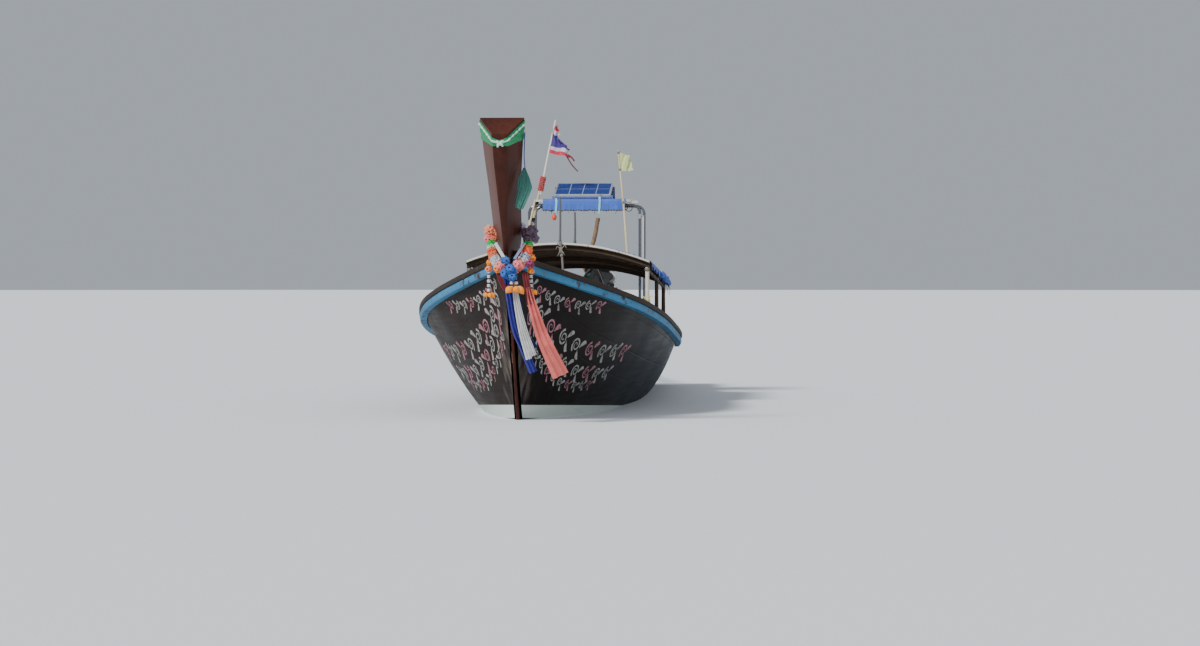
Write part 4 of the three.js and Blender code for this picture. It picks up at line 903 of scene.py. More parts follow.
class LONGTAIL_OT_rails(bpy.types.Operator):
    """Builds the blue rub rails and the dark cap rails, with their bolts"""

    bl_idname = "longtail.rails"
    bl_label = "Rails"

    def execute(self, context):
        sizes = context.scene.longtail_hull
        for word, side in SIDES.items():
            rub = loft(rail_rings(side, rub_profile), 50)
            dress(rub, f"rub_rail_{word}_round", "rail",
                  (f"rub_rail_{word}",))
            cap = loft(rail_rings(side, cap_profile), 30)
            dress(cap, f"cap_rail_{word}_eased", "cap",
                  (f"cap_rail_{word}",))
            bolts = []
            station, last = BOLT_STATIONS
            while station < last:
                here = sheer_at(station)
                ahead = sheer_at(station + 0.05)
                out = Vector((ahead.y - here.y, here.x - ahead.x, 0)).normalized()
                spot = here + out * 0.036 + above(-0.031)
                spot.x *= side
                bpy.ops.object.select_all(action="DESELECT")
                bpy.ops.mesh.primitive_cylinder_add(vertices=8, radius=0.009, depth=0.008, location=spot)
                bolt = context.object
                turn = Vector((side * out.x, out.y, 0)).to_track_quat("Z", "Y")
                bolt.rotation_euler = turn.to_euler()
                bolts.append(bolt)
                station += sizes.bolt_spacing
            select_only(*bolts)
            bpy.ops.object.transform_apply(location=True, rotation=True, scale=True)
            dress(joined(bolts), f"rail_bolts_{word}", "rust")
        return {"FINISHED"}


# Roof and canopy

# Stations are metres aft of the stem's waterline entry.
ROOF = {"from": 3.7, "to": 6.19, "half": 0.867, "edge": 1.318, "rise": 0.17, "fall": 0.069,
        "thick": 0.024}
ROOF_POSTS = {"stations": (3.75, 5.1, 6.15), "half": 0.842, "radius": 0.0195, "foot": 0.4203}
COVER = {"from": 3.76, "length": 2.36, "edge": 0.893}
CANOPY_SHIFT = 0.035
HOOPS = {"stations": (6.31, 6.95), "half": 0.56, "axis": 1.915, "radius": 0.015, "bend": 0.095,
         "foot": 0.4203}
CANOPY = {"half": 0.415, "from": 6.219, "to": 7.05, "top": 1.9752, "low": 1.862,
          "battens": (6.29, 6.97)}
POLE_STATION = 6.335
CANE_STATION = 6.165


def roof_under(x, station):
    rise = ROOF["rise"] * (1 - (x / ROOF["half"]) ** 2)
    return ROOF["edge"] + rise - ROOF["fall"] * (station - ROOF["from"])


def at(x, station, z):
    return Vector((x, along(station), z))


def route(rows, shift=0.0):
    """Places from rows of x, station and z, all moved to port by shift."""
    return [at(x + shift, station, z) for x, station, z in rows]


def arched_rings(half, profile, steps=48):
    """Rings across the boat; profile lists (station, height above the roof's underside)."""
    rings = []
    for i in range(steps + 1):
        x = -half + 2 * half * i / steps
        rings.append([at(x, station, roof_under(x, station) + up) for station, up in profile])
    return rings


def wobble(seed, *waves):
    """A smooth function of one number: a sum of sines whose phases come from the seed."""
    chance = random.Random(seed)
    parts = [(chance.uniform(0, 2 * math.pi), rate, size) for rate, size in waves]
    return lambda t: sum(size * math.sin(rate * t + phase) for phase, rate, size in parts)


class LONGTAIL_OT_roof(bpy.types.Operator):
    """Builds the low roof with its cream rim and boarded underside, its frame and its blue cover"""

    bl_idname = "longtail.roof"
    bl_label = "Low roof"

    def execute(self, context):
        self.boards()
        self.beams()
        cords = self.posts()
        self.lashing()
        cords += self.stick()
        dress(skins(cords), "post_ties", "rope")
        self.cover(context.scene.longtail_dress.cover_inner)
        return {"FINISHED"}

    def boards(self):
        """The arched boards, cream on top and on the upper half of their edge."""
        start, end, thick = ROOF["from"], ROOF["to"], ROOF["thick"]
        half = thick / 2
        profile = [(start, 0.001), (start - 0.004, 0.004), (start - 0.004, half),
                   (start - 0.004, thick + 0.001), (start + 0.004, thick + 0.005), (end - 0.004, thick),
                   (end, thick - 0.004), (end, 0.003), (end - 0.004, 0.0)]
        roof = loft(arched_rings(ROOF["half"], profile), 30)
        dress(roof, "low_roof_boards", "cream", ("low_roof",))
        roof.data.materials.append(FINISHES["roof_under"])
        for face in roof.data.polygons:
            station = face.center.y + WATERLINE_LENGTH / 2
            up = face.center.z - roof_under(face.center.x, station)
            face.material_index = int(face.normal.z < -0.4 or up < half)

    def beams(self):
        """A beam across over each pair of posts, and a pole along over each row of them."""
        runs = []
        for station in ROOF_POSTS["stations"]:
            near, far = station - 0.022, station + 0.022
            section = [(near, -0.036), (near, -0.0004), (far, -0.0004), (far, -0.036),
                       (far - 0.006, -0.042), (near + 0.006, -0.042)]
            runs.append(arched_rings(0.863, section))
        for side in (-1, 1):
            x = side * ROOF_POSTS["half"]
            ends = [at(x, s, roof_under(x, s) - 0.062) for s in (3.73, 6.17)]
            runs.append(tube_rings(ends, 0.017, 14))
        dress(skins(runs), "roof_beams", "roof_frame", ("low_roof_frame",))

    def posts(self):
        """The six posts, the pale one at the front on port. Returns the cords round their heads."""
        dark, pale, cords = [], [], []
        for i, station in enumerate(ROOF_POSTS["stations"]):
            for side in (-1, 1):
                x = side * ROOF_POSTS["half"]
                foot = at(x, station, ROOF_POSTS["foot"])
                head = at(x, station, roof_under(x, station) - 0.01)
                shape = wobble(i * 7 + side, (5.0, 0.0007), (13.0, 0.0005))
                rings = tube_rings(bowed(foot, head), lambda t: ROOF_POSTS["radius"] + shape(t), 16, 10)
                (pale if i == 0 and side > 0 else dark).append(rings)
                cords.append(coil_rings(head - above(0.06), above(0.022), 0.0225, 0.0025, 5))
        dress(skins(dark), "roof_posts", "roof_frame")
        dress(skins(pale), "roof_post_pale", "pale")
        return cords

    def lashing(self):
        """The yellow cord round the pale post, with three loose loops."""
        knot = at(ROOF_POSTS["half"], ROOF_POSTS["stations"][0], 0.93)
        runs = [coil_rings(knot, above(0.05), 0.0245, 0.005, 5, 8)]
        for dx, dz in ((0.04, 0.07), (-0.035, 0.06), (0.03, -0.06)):
            loop = [(0.0, -0.028, 0.02), (dx * 0.6, -0.045, 0.03 + dz * 0.6), (dx, -0.035, 0.02 + dz)]
            runs.append(tube_rings([knot + Vector(off) for off in loop], 0.005, 8))
        dress(skins(runs), "yellow_lashing", "yellow_rope")

    def stick(self):
        """The worn stick on the rim. Returns the cords that tie it."""
        rim = ROOF["from"] - 0.0145
        high, low = at(0.026, rim, 1.53), at(0.052, rim, 1.245)
        stick = tube_rings(bowed(high, low, (0.004, 0, 0)), 0.0105, 14)
        dress(loft(stick, 60), "rim_stick", "worn_stick")
        cords = []
        for t, size in ((0.02, 0.035), (0.2, 0.05), (0.42, 0.02)):
            cords.append(coil_rings(high.lerp(low, t), above(-size), 0.0135, 0.0035, 5, 8))
        spot = high.lerp(low, 0.28)
        for dx, dz in ((0.05, 0.02), (-0.045, 0.01), (0.035, -0.05), (-0.03, -0.06)):
            loop = [(0, -0.012, 0), (dx * 0.7, -0.02, dz + 0.02), (dx, -0.012, dz)]
            cords.append(tube_rings([spot + Vector(off) for off in loop], 0.004, 8, 10))
        return cords

    def cover(self, inner):
        """The blue cover on the roof's port third, with its bunched edge and the rags below it."""
        rows, columns = 70, 26
        crease = wobble(3, (9.0, 0.004), (23.0, 0.003))
        wander = wobble(5, (3.1, 0.03), (8.7, 0.022), (19.0, 0.009))
        ragged = wobble(4, (7.0, 0.018), (19.0, 0.014), (41.0, 0.009))
        reach = ROOF["half"] + 0.008 - inner
        grid = []
        for i in range(rows + 1):
            v = i / rows
            station = COVER["from"] + COVER["length"] * v
            hang = 0.055 + ragged(v * 6)
            row = []
            for j in range(columns + 1):
                way = (reach + hang) * j / columns
                x = inner + min(way, reach)
                down = max(0.0, way - reach)
                lift = 0.0045 + abs(crease(x * 9 + v * 14)) * 1.3 + abs(crease(x * 31 - v * 22)) * 0.5
                x += wander(v * 2.4) * (1 - min(way, reach) / reach)
                swing = crease(v * 40) * (down * 9)
                z = roof_under(min(x, ROOF["half"]), station) + ROOF["thick"] + lift - down
                row.append(at(x + 0.012 * min(1, down * 30) + swing * 0.5, station, z))
            grid.append(row)
        centre = []
        for k in range(6):
            station = 5.0 + 0.23 * k
            z = roof_under(0.86, station) - 0.015 + 0.014 * math.sin(2.3 * k)
            centre.append(at(COVER["edge"] + 0.01 * math.sin(3 * k), station, z))
        lumps = wobble(8, (17.0, 0.006), (31.0, 0.005), (59.0, 0.003))
        rings = tube_rings(centre, lambda t: 0.024 + lumps(t * 3) * min(1, 8 * t, 8 - 8 * t), 26, 90)
        folds = wobble(9, (6.0, 0.09), (11.0, 0.07))
        for i, ring in enumerate(rings):
            middle = sum(ring, Vector()) / len(ring)
            for j, turn in enumerate(turns(len(ring))):
                swell = 1 + folds(turn + i * 0.05) + 0.06 * math.sin(5 * turn + i * 0.21)
                ring[j] = middle + (ring[j] - middle) * swell
        dress(loft(rings, 80), "roof_cover_roll", "tarp")
        rags = []
        chance = random.Random(12)
        for station in (5.2, 5.42, 5.66, 5.85, 6.02, 6.1):
            top = at(COVER["edge"], station, roof_under(0.86, station) - 0.03)
            across, astern = chance.uniform(-0.01, 0.015), chance.uniform(-0.03, 0.03)
            low = top + Vector((across, astern, -chance.uniform(0.06, 0.13)))
            rag = bowed(top, low, (0.012, 0.01, 0))
            rags.append(tube_rings(rag, lambda t: 0.0035 - 0.002 * t, 7, 10))
        dress(skins(rags), "cover_ties", "black")
        cloth_piece("roof_cover", grid, 0.002, "tarp")


class LONGTAIL_OT_canopy(bpy.types.Operator):
    """Builds the canopy: hoops with their collars, battens, tarp, panel, straps and float"""

    bl_idname = "longtail.canopy"
    bl_label = "Canopy"

    def execute(self, context):
        for i, station in enumerate(HOOPS["stations"]):
            rings = tube_rings(self.hoop_path(station), HOOPS["radius"], 20, 132)
            dress(loft(rings, 60), f"canopy_hoop_{i + 1}_tube", "steel",
                  (f"canopy_hoop_{i + 1}",))
        paint_nodes({"pale": ("canopy_battens",), "aluminium": ("solar_panel_frame",),
                     "cells": ("solar_cells",)})
        self.fittings()
        self.tarp()
        self.straps()
        self.float()
        return {"FINISHED"}

    def straps(self):
        """The two light blue straps that hang down the tarp's front strip."""
        for name, x, top, low in (("strap_port", 0.193, 2.0, 1.828),
                                  ("strap_starboard", -0.246, 1.985, 1.82)):
            points = route([(x, 6.214, top), (x + 0.004, 6.203, (top + low) / 2 + 0.03),
                            (x - 0.004, 6.199, low)])
            grid = ribbon_grid(points, 0.022, (1, 0, 0), 30, 8, 0.0012, 1.5)
            cloth_piece(name, grid, 0.0012, "strap")

    def float(self):
        """The small orange float that hangs below the starboard strap."""
        middle = at(-0.262, 6.19, 1.79)
        ball = ball_rings(middle, 0.026, 0.03, [0.05 + 3.04 * k / 12 for k in range(13)], 20)
        loop = tube_rings([middle + above(0.028), middle + Vector((0.004, 0.002, 0.05))], 0.005, 10)
        dress(skins([ball, loop], 80), "small_float", "float")

    def hoop_path(self, station):
        """The points of one hoop from foot to foot, with its bends at the top."""
        half, axis, bend = HOOPS["half"], HOOPS["axis"], HOOPS["bend"]
        side = [(half, HOOPS["foot"] + (axis - bend - HOOPS["foot"]) * k / 4) for k in range(4)]
        for k in range(9):
            u = k / 8
            first, second, third = (1 - u) ** 2, 2 * u * (1 - u), u**2
            x = first * half + second * half + third * (half - bend)
            z = first * (axis - bend) + second * axis + third * axis
            side.append((x, z))
        top = [((half - bend) * (1 - k / 3), axis) for k in (1, 2)]
        path = [(-x, z) for x, z in side + top] + [(0, axis)] + [(x, z) for x, z in (side + top)[::-1]]
        return [at(x + CANOPY_SHIFT, station, z) for x, z in path]

    def fittings(self):
        """The collars and the stay on the front hoop, and the lashings of the battens."""
        port, front = HOOPS["half"] + CANOPY_SHIFT, HOOPS["stations"][0]
        collars = []
        for x, z in ((port, 1.78), (port, 1.2), (port - 2 * HOOPS["half"], 1.72)):
            ring = route([(x, front, z), (x, front, z + 0.045)])
            lug = route([(x + 0.012, front, z + 0.022), (x + 0.042, front, z + 0.022)])
            collars += [tube_rings(ring, 0.0195, 18), tube_rings(lug, 0.0085, 10)]
        dress(skins(collars), "hoop_clamps", "alloy")
        stay = route([(port + 0.034, front, 1.802), (port + 0.034, front, 1.25)])
        dress(tube(stay, 0.0075, 12), "hoop_stay", "pale")
        lashings = []
        for x in (-0.365, 0.435):
            for station in HOOPS["stations"]:
                spot = at(x, station - 0.02, 1.9)
                lashings.append(coil_rings(spot, Vector((0, 0.04, 0)), 0.0375, 0.0028, 5))
        dress(skins(lashings), "batten_lashings", "black")

    def tarp(self):
        """The cloth over the battens, its hanging front strip and the ragged fringe below that."""
        start, top_z = CANOPY["from"], CANOPY["top"]
        near, far = CANOPY["battens"]
        line = [Vector((0, s, z)) for s, z in ((start - 0.004, CANOPY["low"]), (start - 0.006, 1.92),
                                               (start - 0.003, 1.966), (start + 0.006, top_z + 0.002))]
        for k in range(1, 25):
            s = start + 0.006 + (CANOPY["to"] - start - 0.006) * k / 24
            inside = (s - near) / (far - near)
            sag = 0.013 * math.sin(math.pi * inside) if 0 < inside < 1 else 0.0
            line.append(Vector((0, s, top_z - sag)))
        folds = wobble(21, (38.0, 0.0035), (71.0, 0.002))
        hem = wobble(22, (47.0, 0.003), (90.0, 0.0025))
        columns, rows = 90, 64
        grid = []
        for i in range(rows + 1):
            here = along_line(line, i / rows)
            hanging = max(0.0, (1.955 - here.z) / 0.095)
            between = math.sin(math.pi * min(1, max(0, (here.y - near) / (far - near))))
            row = []
            for j in range(columns + 1):
                u = j / columns
                x = -CANOPY["half"] + 2 * CANOPY["half"] * u
                dip = 0.006 * between * math.sin(math.pi * u)
                scallop = 0.004 * abs(math.sin(13 * math.pi * u)) * (1 if i == 0 else 0)
                row.append(at(x + CANOPY_SHIFT, here.y - hanging * (0.004 + abs(folds(u))),
                              here.z - dip + hem(u) * hanging * 0.6 + scallop))
            grid.append(row)
        cloth_piece("canopy_cover", grid, 0.003, "tarp",
                    ("canopy_tarp",))
        edge = [grid[0][j] + above(-0.003) for j in range(0, columns + 1, 3)]
        fringe = [tube_rings(edge, lambda t: 0.0048 + 0.0018 * math.sin(190 * t), 8, 200)]
        chance = random.Random(5)
        for j in range(3, columns, 6):
            top = grid[0][j]
            low = top + Vector((chance.uniform(-0.012, 0.012), -0.004, -chance.uniform(0.012, 0.04)))
            fringe.append(tube_rings(bowed(top, low, (0.003, 0, 0)), 0.002, 6, 4))
        dress(skins(fringe, 80), "canopy_fringe", "black")


def ribbon_grid(points, width, across, rows, columns, curl, folds, narrow=1.0):
    """Rows of a ribbon that follows points, its cloth gathered in folds; narrow is its first width."""
    points = [Vector(p) for p in points]
    across = Vector(across)
    grid = []
    for i in range(rows + 1):
        t = i / rows
        centre = smooth_point(points, t)
        run = heading(points, t).normalized()
        over = (across - run * across.dot(run)).normalized()
        through = run.cross(over)
        size = width * (narrow + (1 - narrow) * t)
        drift = 0.5 * math.sin(5 * t) + 0.3 * math.sin(11 * t)
        row = []
        for j in range(columns + 1):
            u = j / columns - 0.5
            wave = curl * math.sin(2 * math.pi * folds * u + drift)
            row.append(centre + over * (size * u) + through * wave)
        grid.append(row)
    return grid


class LONGTAIL_OT_flags(bpy.types.Operator):
    """Builds the poles on the roof and the two flag poles with their flags, wraps and lashings"""

    bl_idname = "longtail.flags"
    bl_label = "Poles and flags"

    def execute(self, context):
        first = ROOF["from"] + 0.03
        for i, (x, top) in enumerate(((0.02, 1.95), (0.16, 1.805))):
            foot = at(x, first, roof_under(x, first) + ROOF["thick"] + 0.0004)
            points = [foot, at(x + 0.003, first, (foot.z + top) / 2), at(x, first, top)]
            rings = tube_rings(points, lambda t: 0.011 - 0.002 * t, 14)
            coil = coil_rings(foot + above(0.004), above(0.03), 0.0125, 0.0028, 6)
            dress(skins([rings, coil], 60), f"roof_pole_{i + 1}_round", "iron",
                  (f"roof_pole_{i + 1}",))
        self.striped_pole()
        self.striped_flag()
        self.bamboo_pole()
        return {"FINISHED"}

    def striped_pole(self):
        """A cane with a rod on it, the red wrap where they meet, and the stick lashed beside it."""
        foot, head = at(-0.555, POLE_STATION, 1.48), at(-0.262, POLE_STATION, 2.776)
        run = (head - foot).normalized()
        knots = tube_rings(bowed(foot, foot.lerp(head, 0.49)),
                           lambda t: 0.0125 + 0.0016 * abs(math.sin(4.5 * math.pi * t)) ** 12, 16, 60)
        dress(loft(knots, 60), "flag_pole_cane", "bamboo",
              ("flag_pole_striped",))
        upper = [foot.lerp(head, t) + Vector((off, 0, 0)) for t, off in ((0.42, 0.018), (0.7, 0.004))]
        rod = tube_rings([*upper, head], lambda t: 0.0105 - 0.0025 * t, 14)
        dress(loft(rod, 60), "flag_pole_rod", "cream")
        wrap = []
        for k in range(9):
            middle = foot.lerp(head, 0.455 + 0.0125 * k) + Vector((0.006, 0, 0))
            wrap.append(ruffle(middle, run, 0.031, k, 0.012, 0.006, 0.1))
        dress(skins(wrap, 80), "pole_wrap", "red_wrap")
        stick = route([(-0.463, 6.281, 1.972), (-0.49, 6.281, 1.85), (-0.524, 6.281, 1.704)])
        dress(tube(stick, 0.0095, 12), "lashed_stick", "bamboo")
        cords = [coil_rings(foot.lerp(head, t), run * 0.05, 0.0165, 0.003, 8) for t in (0.11, 0.2, 0.33)]
        dress(skins(cords), "pole_cords", "black")

    def striped_flag(self):
        """The torn striped flag with two tatters at its fly."""
        wave = wobble(31, (7.0, 0.02), (15.0, 0.008))
        torn = wobble(32, (31.0, 0.008), (57.0, 0.007), (97.0, 0.004))
        left = [(-0.272, 2.724), (-0.336, 2.448)]
        right = [(-0.25, 2.712), (-0.222, 2.645), (-0.238, 2.585), (-0.165, 2.535), (-0.12, 2.48),
                 (-0.132, 2.43), (-0.105, 2.395)]
        left, right = ([at(x, POLE_STATION, z) for x, z in edge] for edge in (left, right))
        grid = cloth_grid(left, right, 54, 36, lambda u, v: (
            torn(v * 2) * u**4, u * wave(u * 1.3 + v * 0.6), 0.012 * u * math.sin(9 * u + 2 * v)))
        cloth_piece("striped_flag_cloth", grid, 0.0014, "striped",
                    ("striped_flag",))
        tatters = [[(-0.14, 2.425), (-0.1, 2.4), (-0.07, 2.36)],
                   [(-0.16, 2.43), (-0.12, 2.36), (-0.085, 2.31), (-0.035, 2.256)]]
        for k, tail in enumerate(tatters):
            points = [at(x, POLE_STATION, z) for x, z in tail]
            grid = ribbon_grid(points, 0.015 - 0.003 * k, (0.5, 0.2, 1), 24, 4, 0.001, 1)
            cloth_piece(f"flag_tatter_{k + 1}", grid, 0.0014, "dark_red")

    def bamboo_pole(self):
        """A knotted cane with three lashings and the pale flag."""
        foot = at(0.49, CANE_STATION, roof_under(0.49, CANE_STATION) + ROOF["thick"] + 0.001)
        head = at(0.385, CANE_STATION, 2.466)
        knots = [0.07, 0.2, 0.33, 0.45, 0.57, 0.68, 0.78, 0.87, 0.95]

        def radius(t):
            swell = sum(math.exp(-((t - knot) / 0.006) ** 2) for knot in knots)
            return 0.0145 - 0.007 * t + 0.0018 * swell

        rings = tube_rings(bowed(foot, head, (0.006, 0, 0)), radius, 16, 200)
        dress(loft(rings, 60), "flag_pole_cane_port", "bamboo",
              ("flag_pole_bamboo",))
        cords = []
        for z, wrap in ((1.93, 0.0145), (2.26, 0.0115), (2.43, 0.0115)):
            spot = foot.lerp(head, (z - foot.z) / (head.z - foot.z))
            cords.append(coil_rings(spot, above(0.02), wrap, 0.0022, 5))
        dress(skins(cords), "cane_cords", "rope")
        wave = wobble(41, (6.0, 0.014), (13.0, 0.006))
        left = [at(x, CANE_STATION, z) for x, z in ((0.387, 2.444), (0.404, 2.252))]
        right = [at(x, CANE_STATION, z) for x, z in ((0.499, 2.411), (0.515, 2.34), (0.539, 2.26))]
        grid = cloth_grid(left, right, 34, 26, lambda u, v: (
            0.004 * u * math.sin(14 * v), u * wave(u * 1.6 + v), 0.006 * u * math.sin(7 * u + v)))
        cloth_piece("pale_flag_cloth", grid, 0.0014, "pale_flag",
                    ("pale_flag",))


# Dress of the stem

DRESS_SHIFT = 0.025
GARLAND = [(0, -0.925, 1.255), (0.105, -0.905, 1.33), (0.15, -0.85, 1.455), (0.11, -0.775, 1.59),
           (0, -0.745, 1.64), (-0.11, -0.775, 1.59), (-0.15, -0.85, 1.455), (-0.105, -0.905, 1.33)]
TINTS = {
    "petal_blue": (0.02, 0.1, 0.36), "petal_pink": (0.74, 0.19, 0.18), "petal_lilac": (0.42, 0.4, 0.56),
    "petal_orange": (0.82, 0.13, 0.035), "petal_green": (0.01, 0.45, 0.07),
    "petal_purple": (0.13, 0.08, 0.12), "petal_white": (0.6, 0.6, 0.64), "petal_amber": (0.9, 0.27, 0.0),
    "petal_maroon": (0.24, 0.03, 0.09), "petal_peach": (0.74, 0.24, 0.13), "petal_mint": (0.4, 0.7, 0.46),
}
# Blooms on the garland: place round it, tint, radius.
BLOOMS = [
    (0.0, "blue", 0.048), (0.03, "blue", 0.045), (0.062, "pink", 0.049), (0.1, "pink", 0.05),
    (0.14, "white", 0.045), (0.172, "lilac", 0.045), (0.203, "orange", 0.047), (0.229, "orange", 0.045),
    (0.26, "green", 0.042), (0.3, "purple", 0.04), (0.345, "purple", 0.048), (0.41, "lilac", 0.04),
    (0.47, "white", 0.04), (0.53, "white", 0.04), (0.59, "peach", 0.042), (0.655, "peach", 0.048),
    (0.7, "peach", 0.038), (0.736, "green", 0.042), (0.765, "mint", 0.043), (0.791, "orange", 0.047),
    (0.822, "peach", 0.046), (0.856, "white", 0.045), (0.888, "white", 0.046), (0.922, "pink", 0.047),
    (0.957, "pink", 0.048),
]
# Loose blooms: x, station, z, tint, radius.
CLUSTERS = [
    (0.0, -0.972, 1.338, "blue", 0.036), (0.05, -0.978, 1.262, "blue", 0.046),
    (0.006, -0.975, 1.235, "blue", 0.045), (0.055, -0.975, 1.205, "blue", 0.04),
    (0.105, -0.955, 1.3, "pink", 0.044), (0.195, -0.9, 1.31, "maroon", 0.036),
    (0.205, -0.86, 1.36, "amber", 0.03), (0.2, -0.87, 1.25, "amber", 0.026),
    (-0.14, -0.87, 1.32, "amber", 0.028), (-0.145, -0.87, 1.27, "peach", 0.028),
    (-0.068, -0.935, 1.262, "amber", 0.028), (-0.15, -0.80, 1.585, "peach", 0.045),
    (-0.155, -0.82, 1.52, "pink", 0.036), (0.2, -0.81, 1.58, "purple", 0.048),
    (0.225, -0.8, 1.52, "purple", 0.036), (-0.04, -0.955, 1.292, "pink", 0.042),
]


def ruffle(middle, axis, radius, seed, hole=0.008, thick=0.006, wave=0.12, steps=36):
    """The closed run of rings of one frilled disc of cloth round an axis."""
    chance = random.Random(seed)
    a0, a1, a2 = (chance.uniform(0, 6.28) for _ in range(3))
    side = axis.orthogonal().normalized()
    lift = axis.cross(side)
    rings = []
    for a in turns(steps):
        out = side * math.cos(a) + lift * math.sin(a)
        r = radius * (1 + wave * math.sin(7 * a + a0) + wave * 0.5 * math.sin(11 * a + a1))
        bend = radius * 0.16 * math.sin(5 * a + a2) + radius * 0.09 * math.sin(9 * a + a0)
        profile = [(hole, -thick), (r * 0.6, -thick), (r * 0.94, -thick * 0.5), (r, 0.0),
                   (r * 0.94, thick * 0.5), (r * 0.6, thick), (hole, thick)]
        rings.append([middle + out * q + axis * (w + bend * (q / radius) ** 2) for q, w in profile])
    return [*rings, rings[0]]


def bloom(centre, axis, radius, seed, petals=4, pitch=0.42, tilt=0.3, wave=0.12):
    """Runs of frilled discs stacked into one cloth flower, or closer into a band of the garland."""
    chance = random.Random(seed)
    runs = []
    for k in range(petals):
        off = (k - (petals - 1) / 2) * radius * pitch
        lean = Vector([chance.uniform(-tilt, tilt) for _ in range(3)])
        size = radius * (1.0 - 0.3 * pitch * abs(k - (petals - 1) / 2))
        frill = ruffle(centre + axis * off, (axis + lean).normalized(), size, seed * 31 + k, wave=wave)
        runs.append(frill)
    return runs


# Shares of the way round the stem, from its starboard back edge: its front and its port back edge.
STEM_FRONT, STEM_BACK = 0.43, 0.86


def stem_face(t, u):
    """A point on the stem at t up its length and u of the way round, from its starboard back edge."""
    corners = stem_corners(t)
    for i, (low, high) in enumerate(((0, 0.36), (0.36, 0.5), (0.5, STEM_BACK), (STEM_BACK, 1.0))):
        if u <= high:
            return corners[i - 1].lerp(corners[i], (u - low) / (high - low))
    return corners[3]


def around_stem(t, u, off):
    """A point held off the stem's face by a distance."""
    u %= 1.0
    here = stem_face(t, u)
    run = stem_face(t, min(1, u + 0.012)) - stem_face(t, max(0, u - 0.012))
    up = stem_face(min(1, t + 0.004), u) - stem_face(max(0, t - 0.004), u)
    out = run.cross(up).normalized()
    middle = (stem_face(t, 0.18) + stem_face(t, 0.68)) / 2
    if out.dot(here - middle) < 0:
        out = -out
    return here + out * off


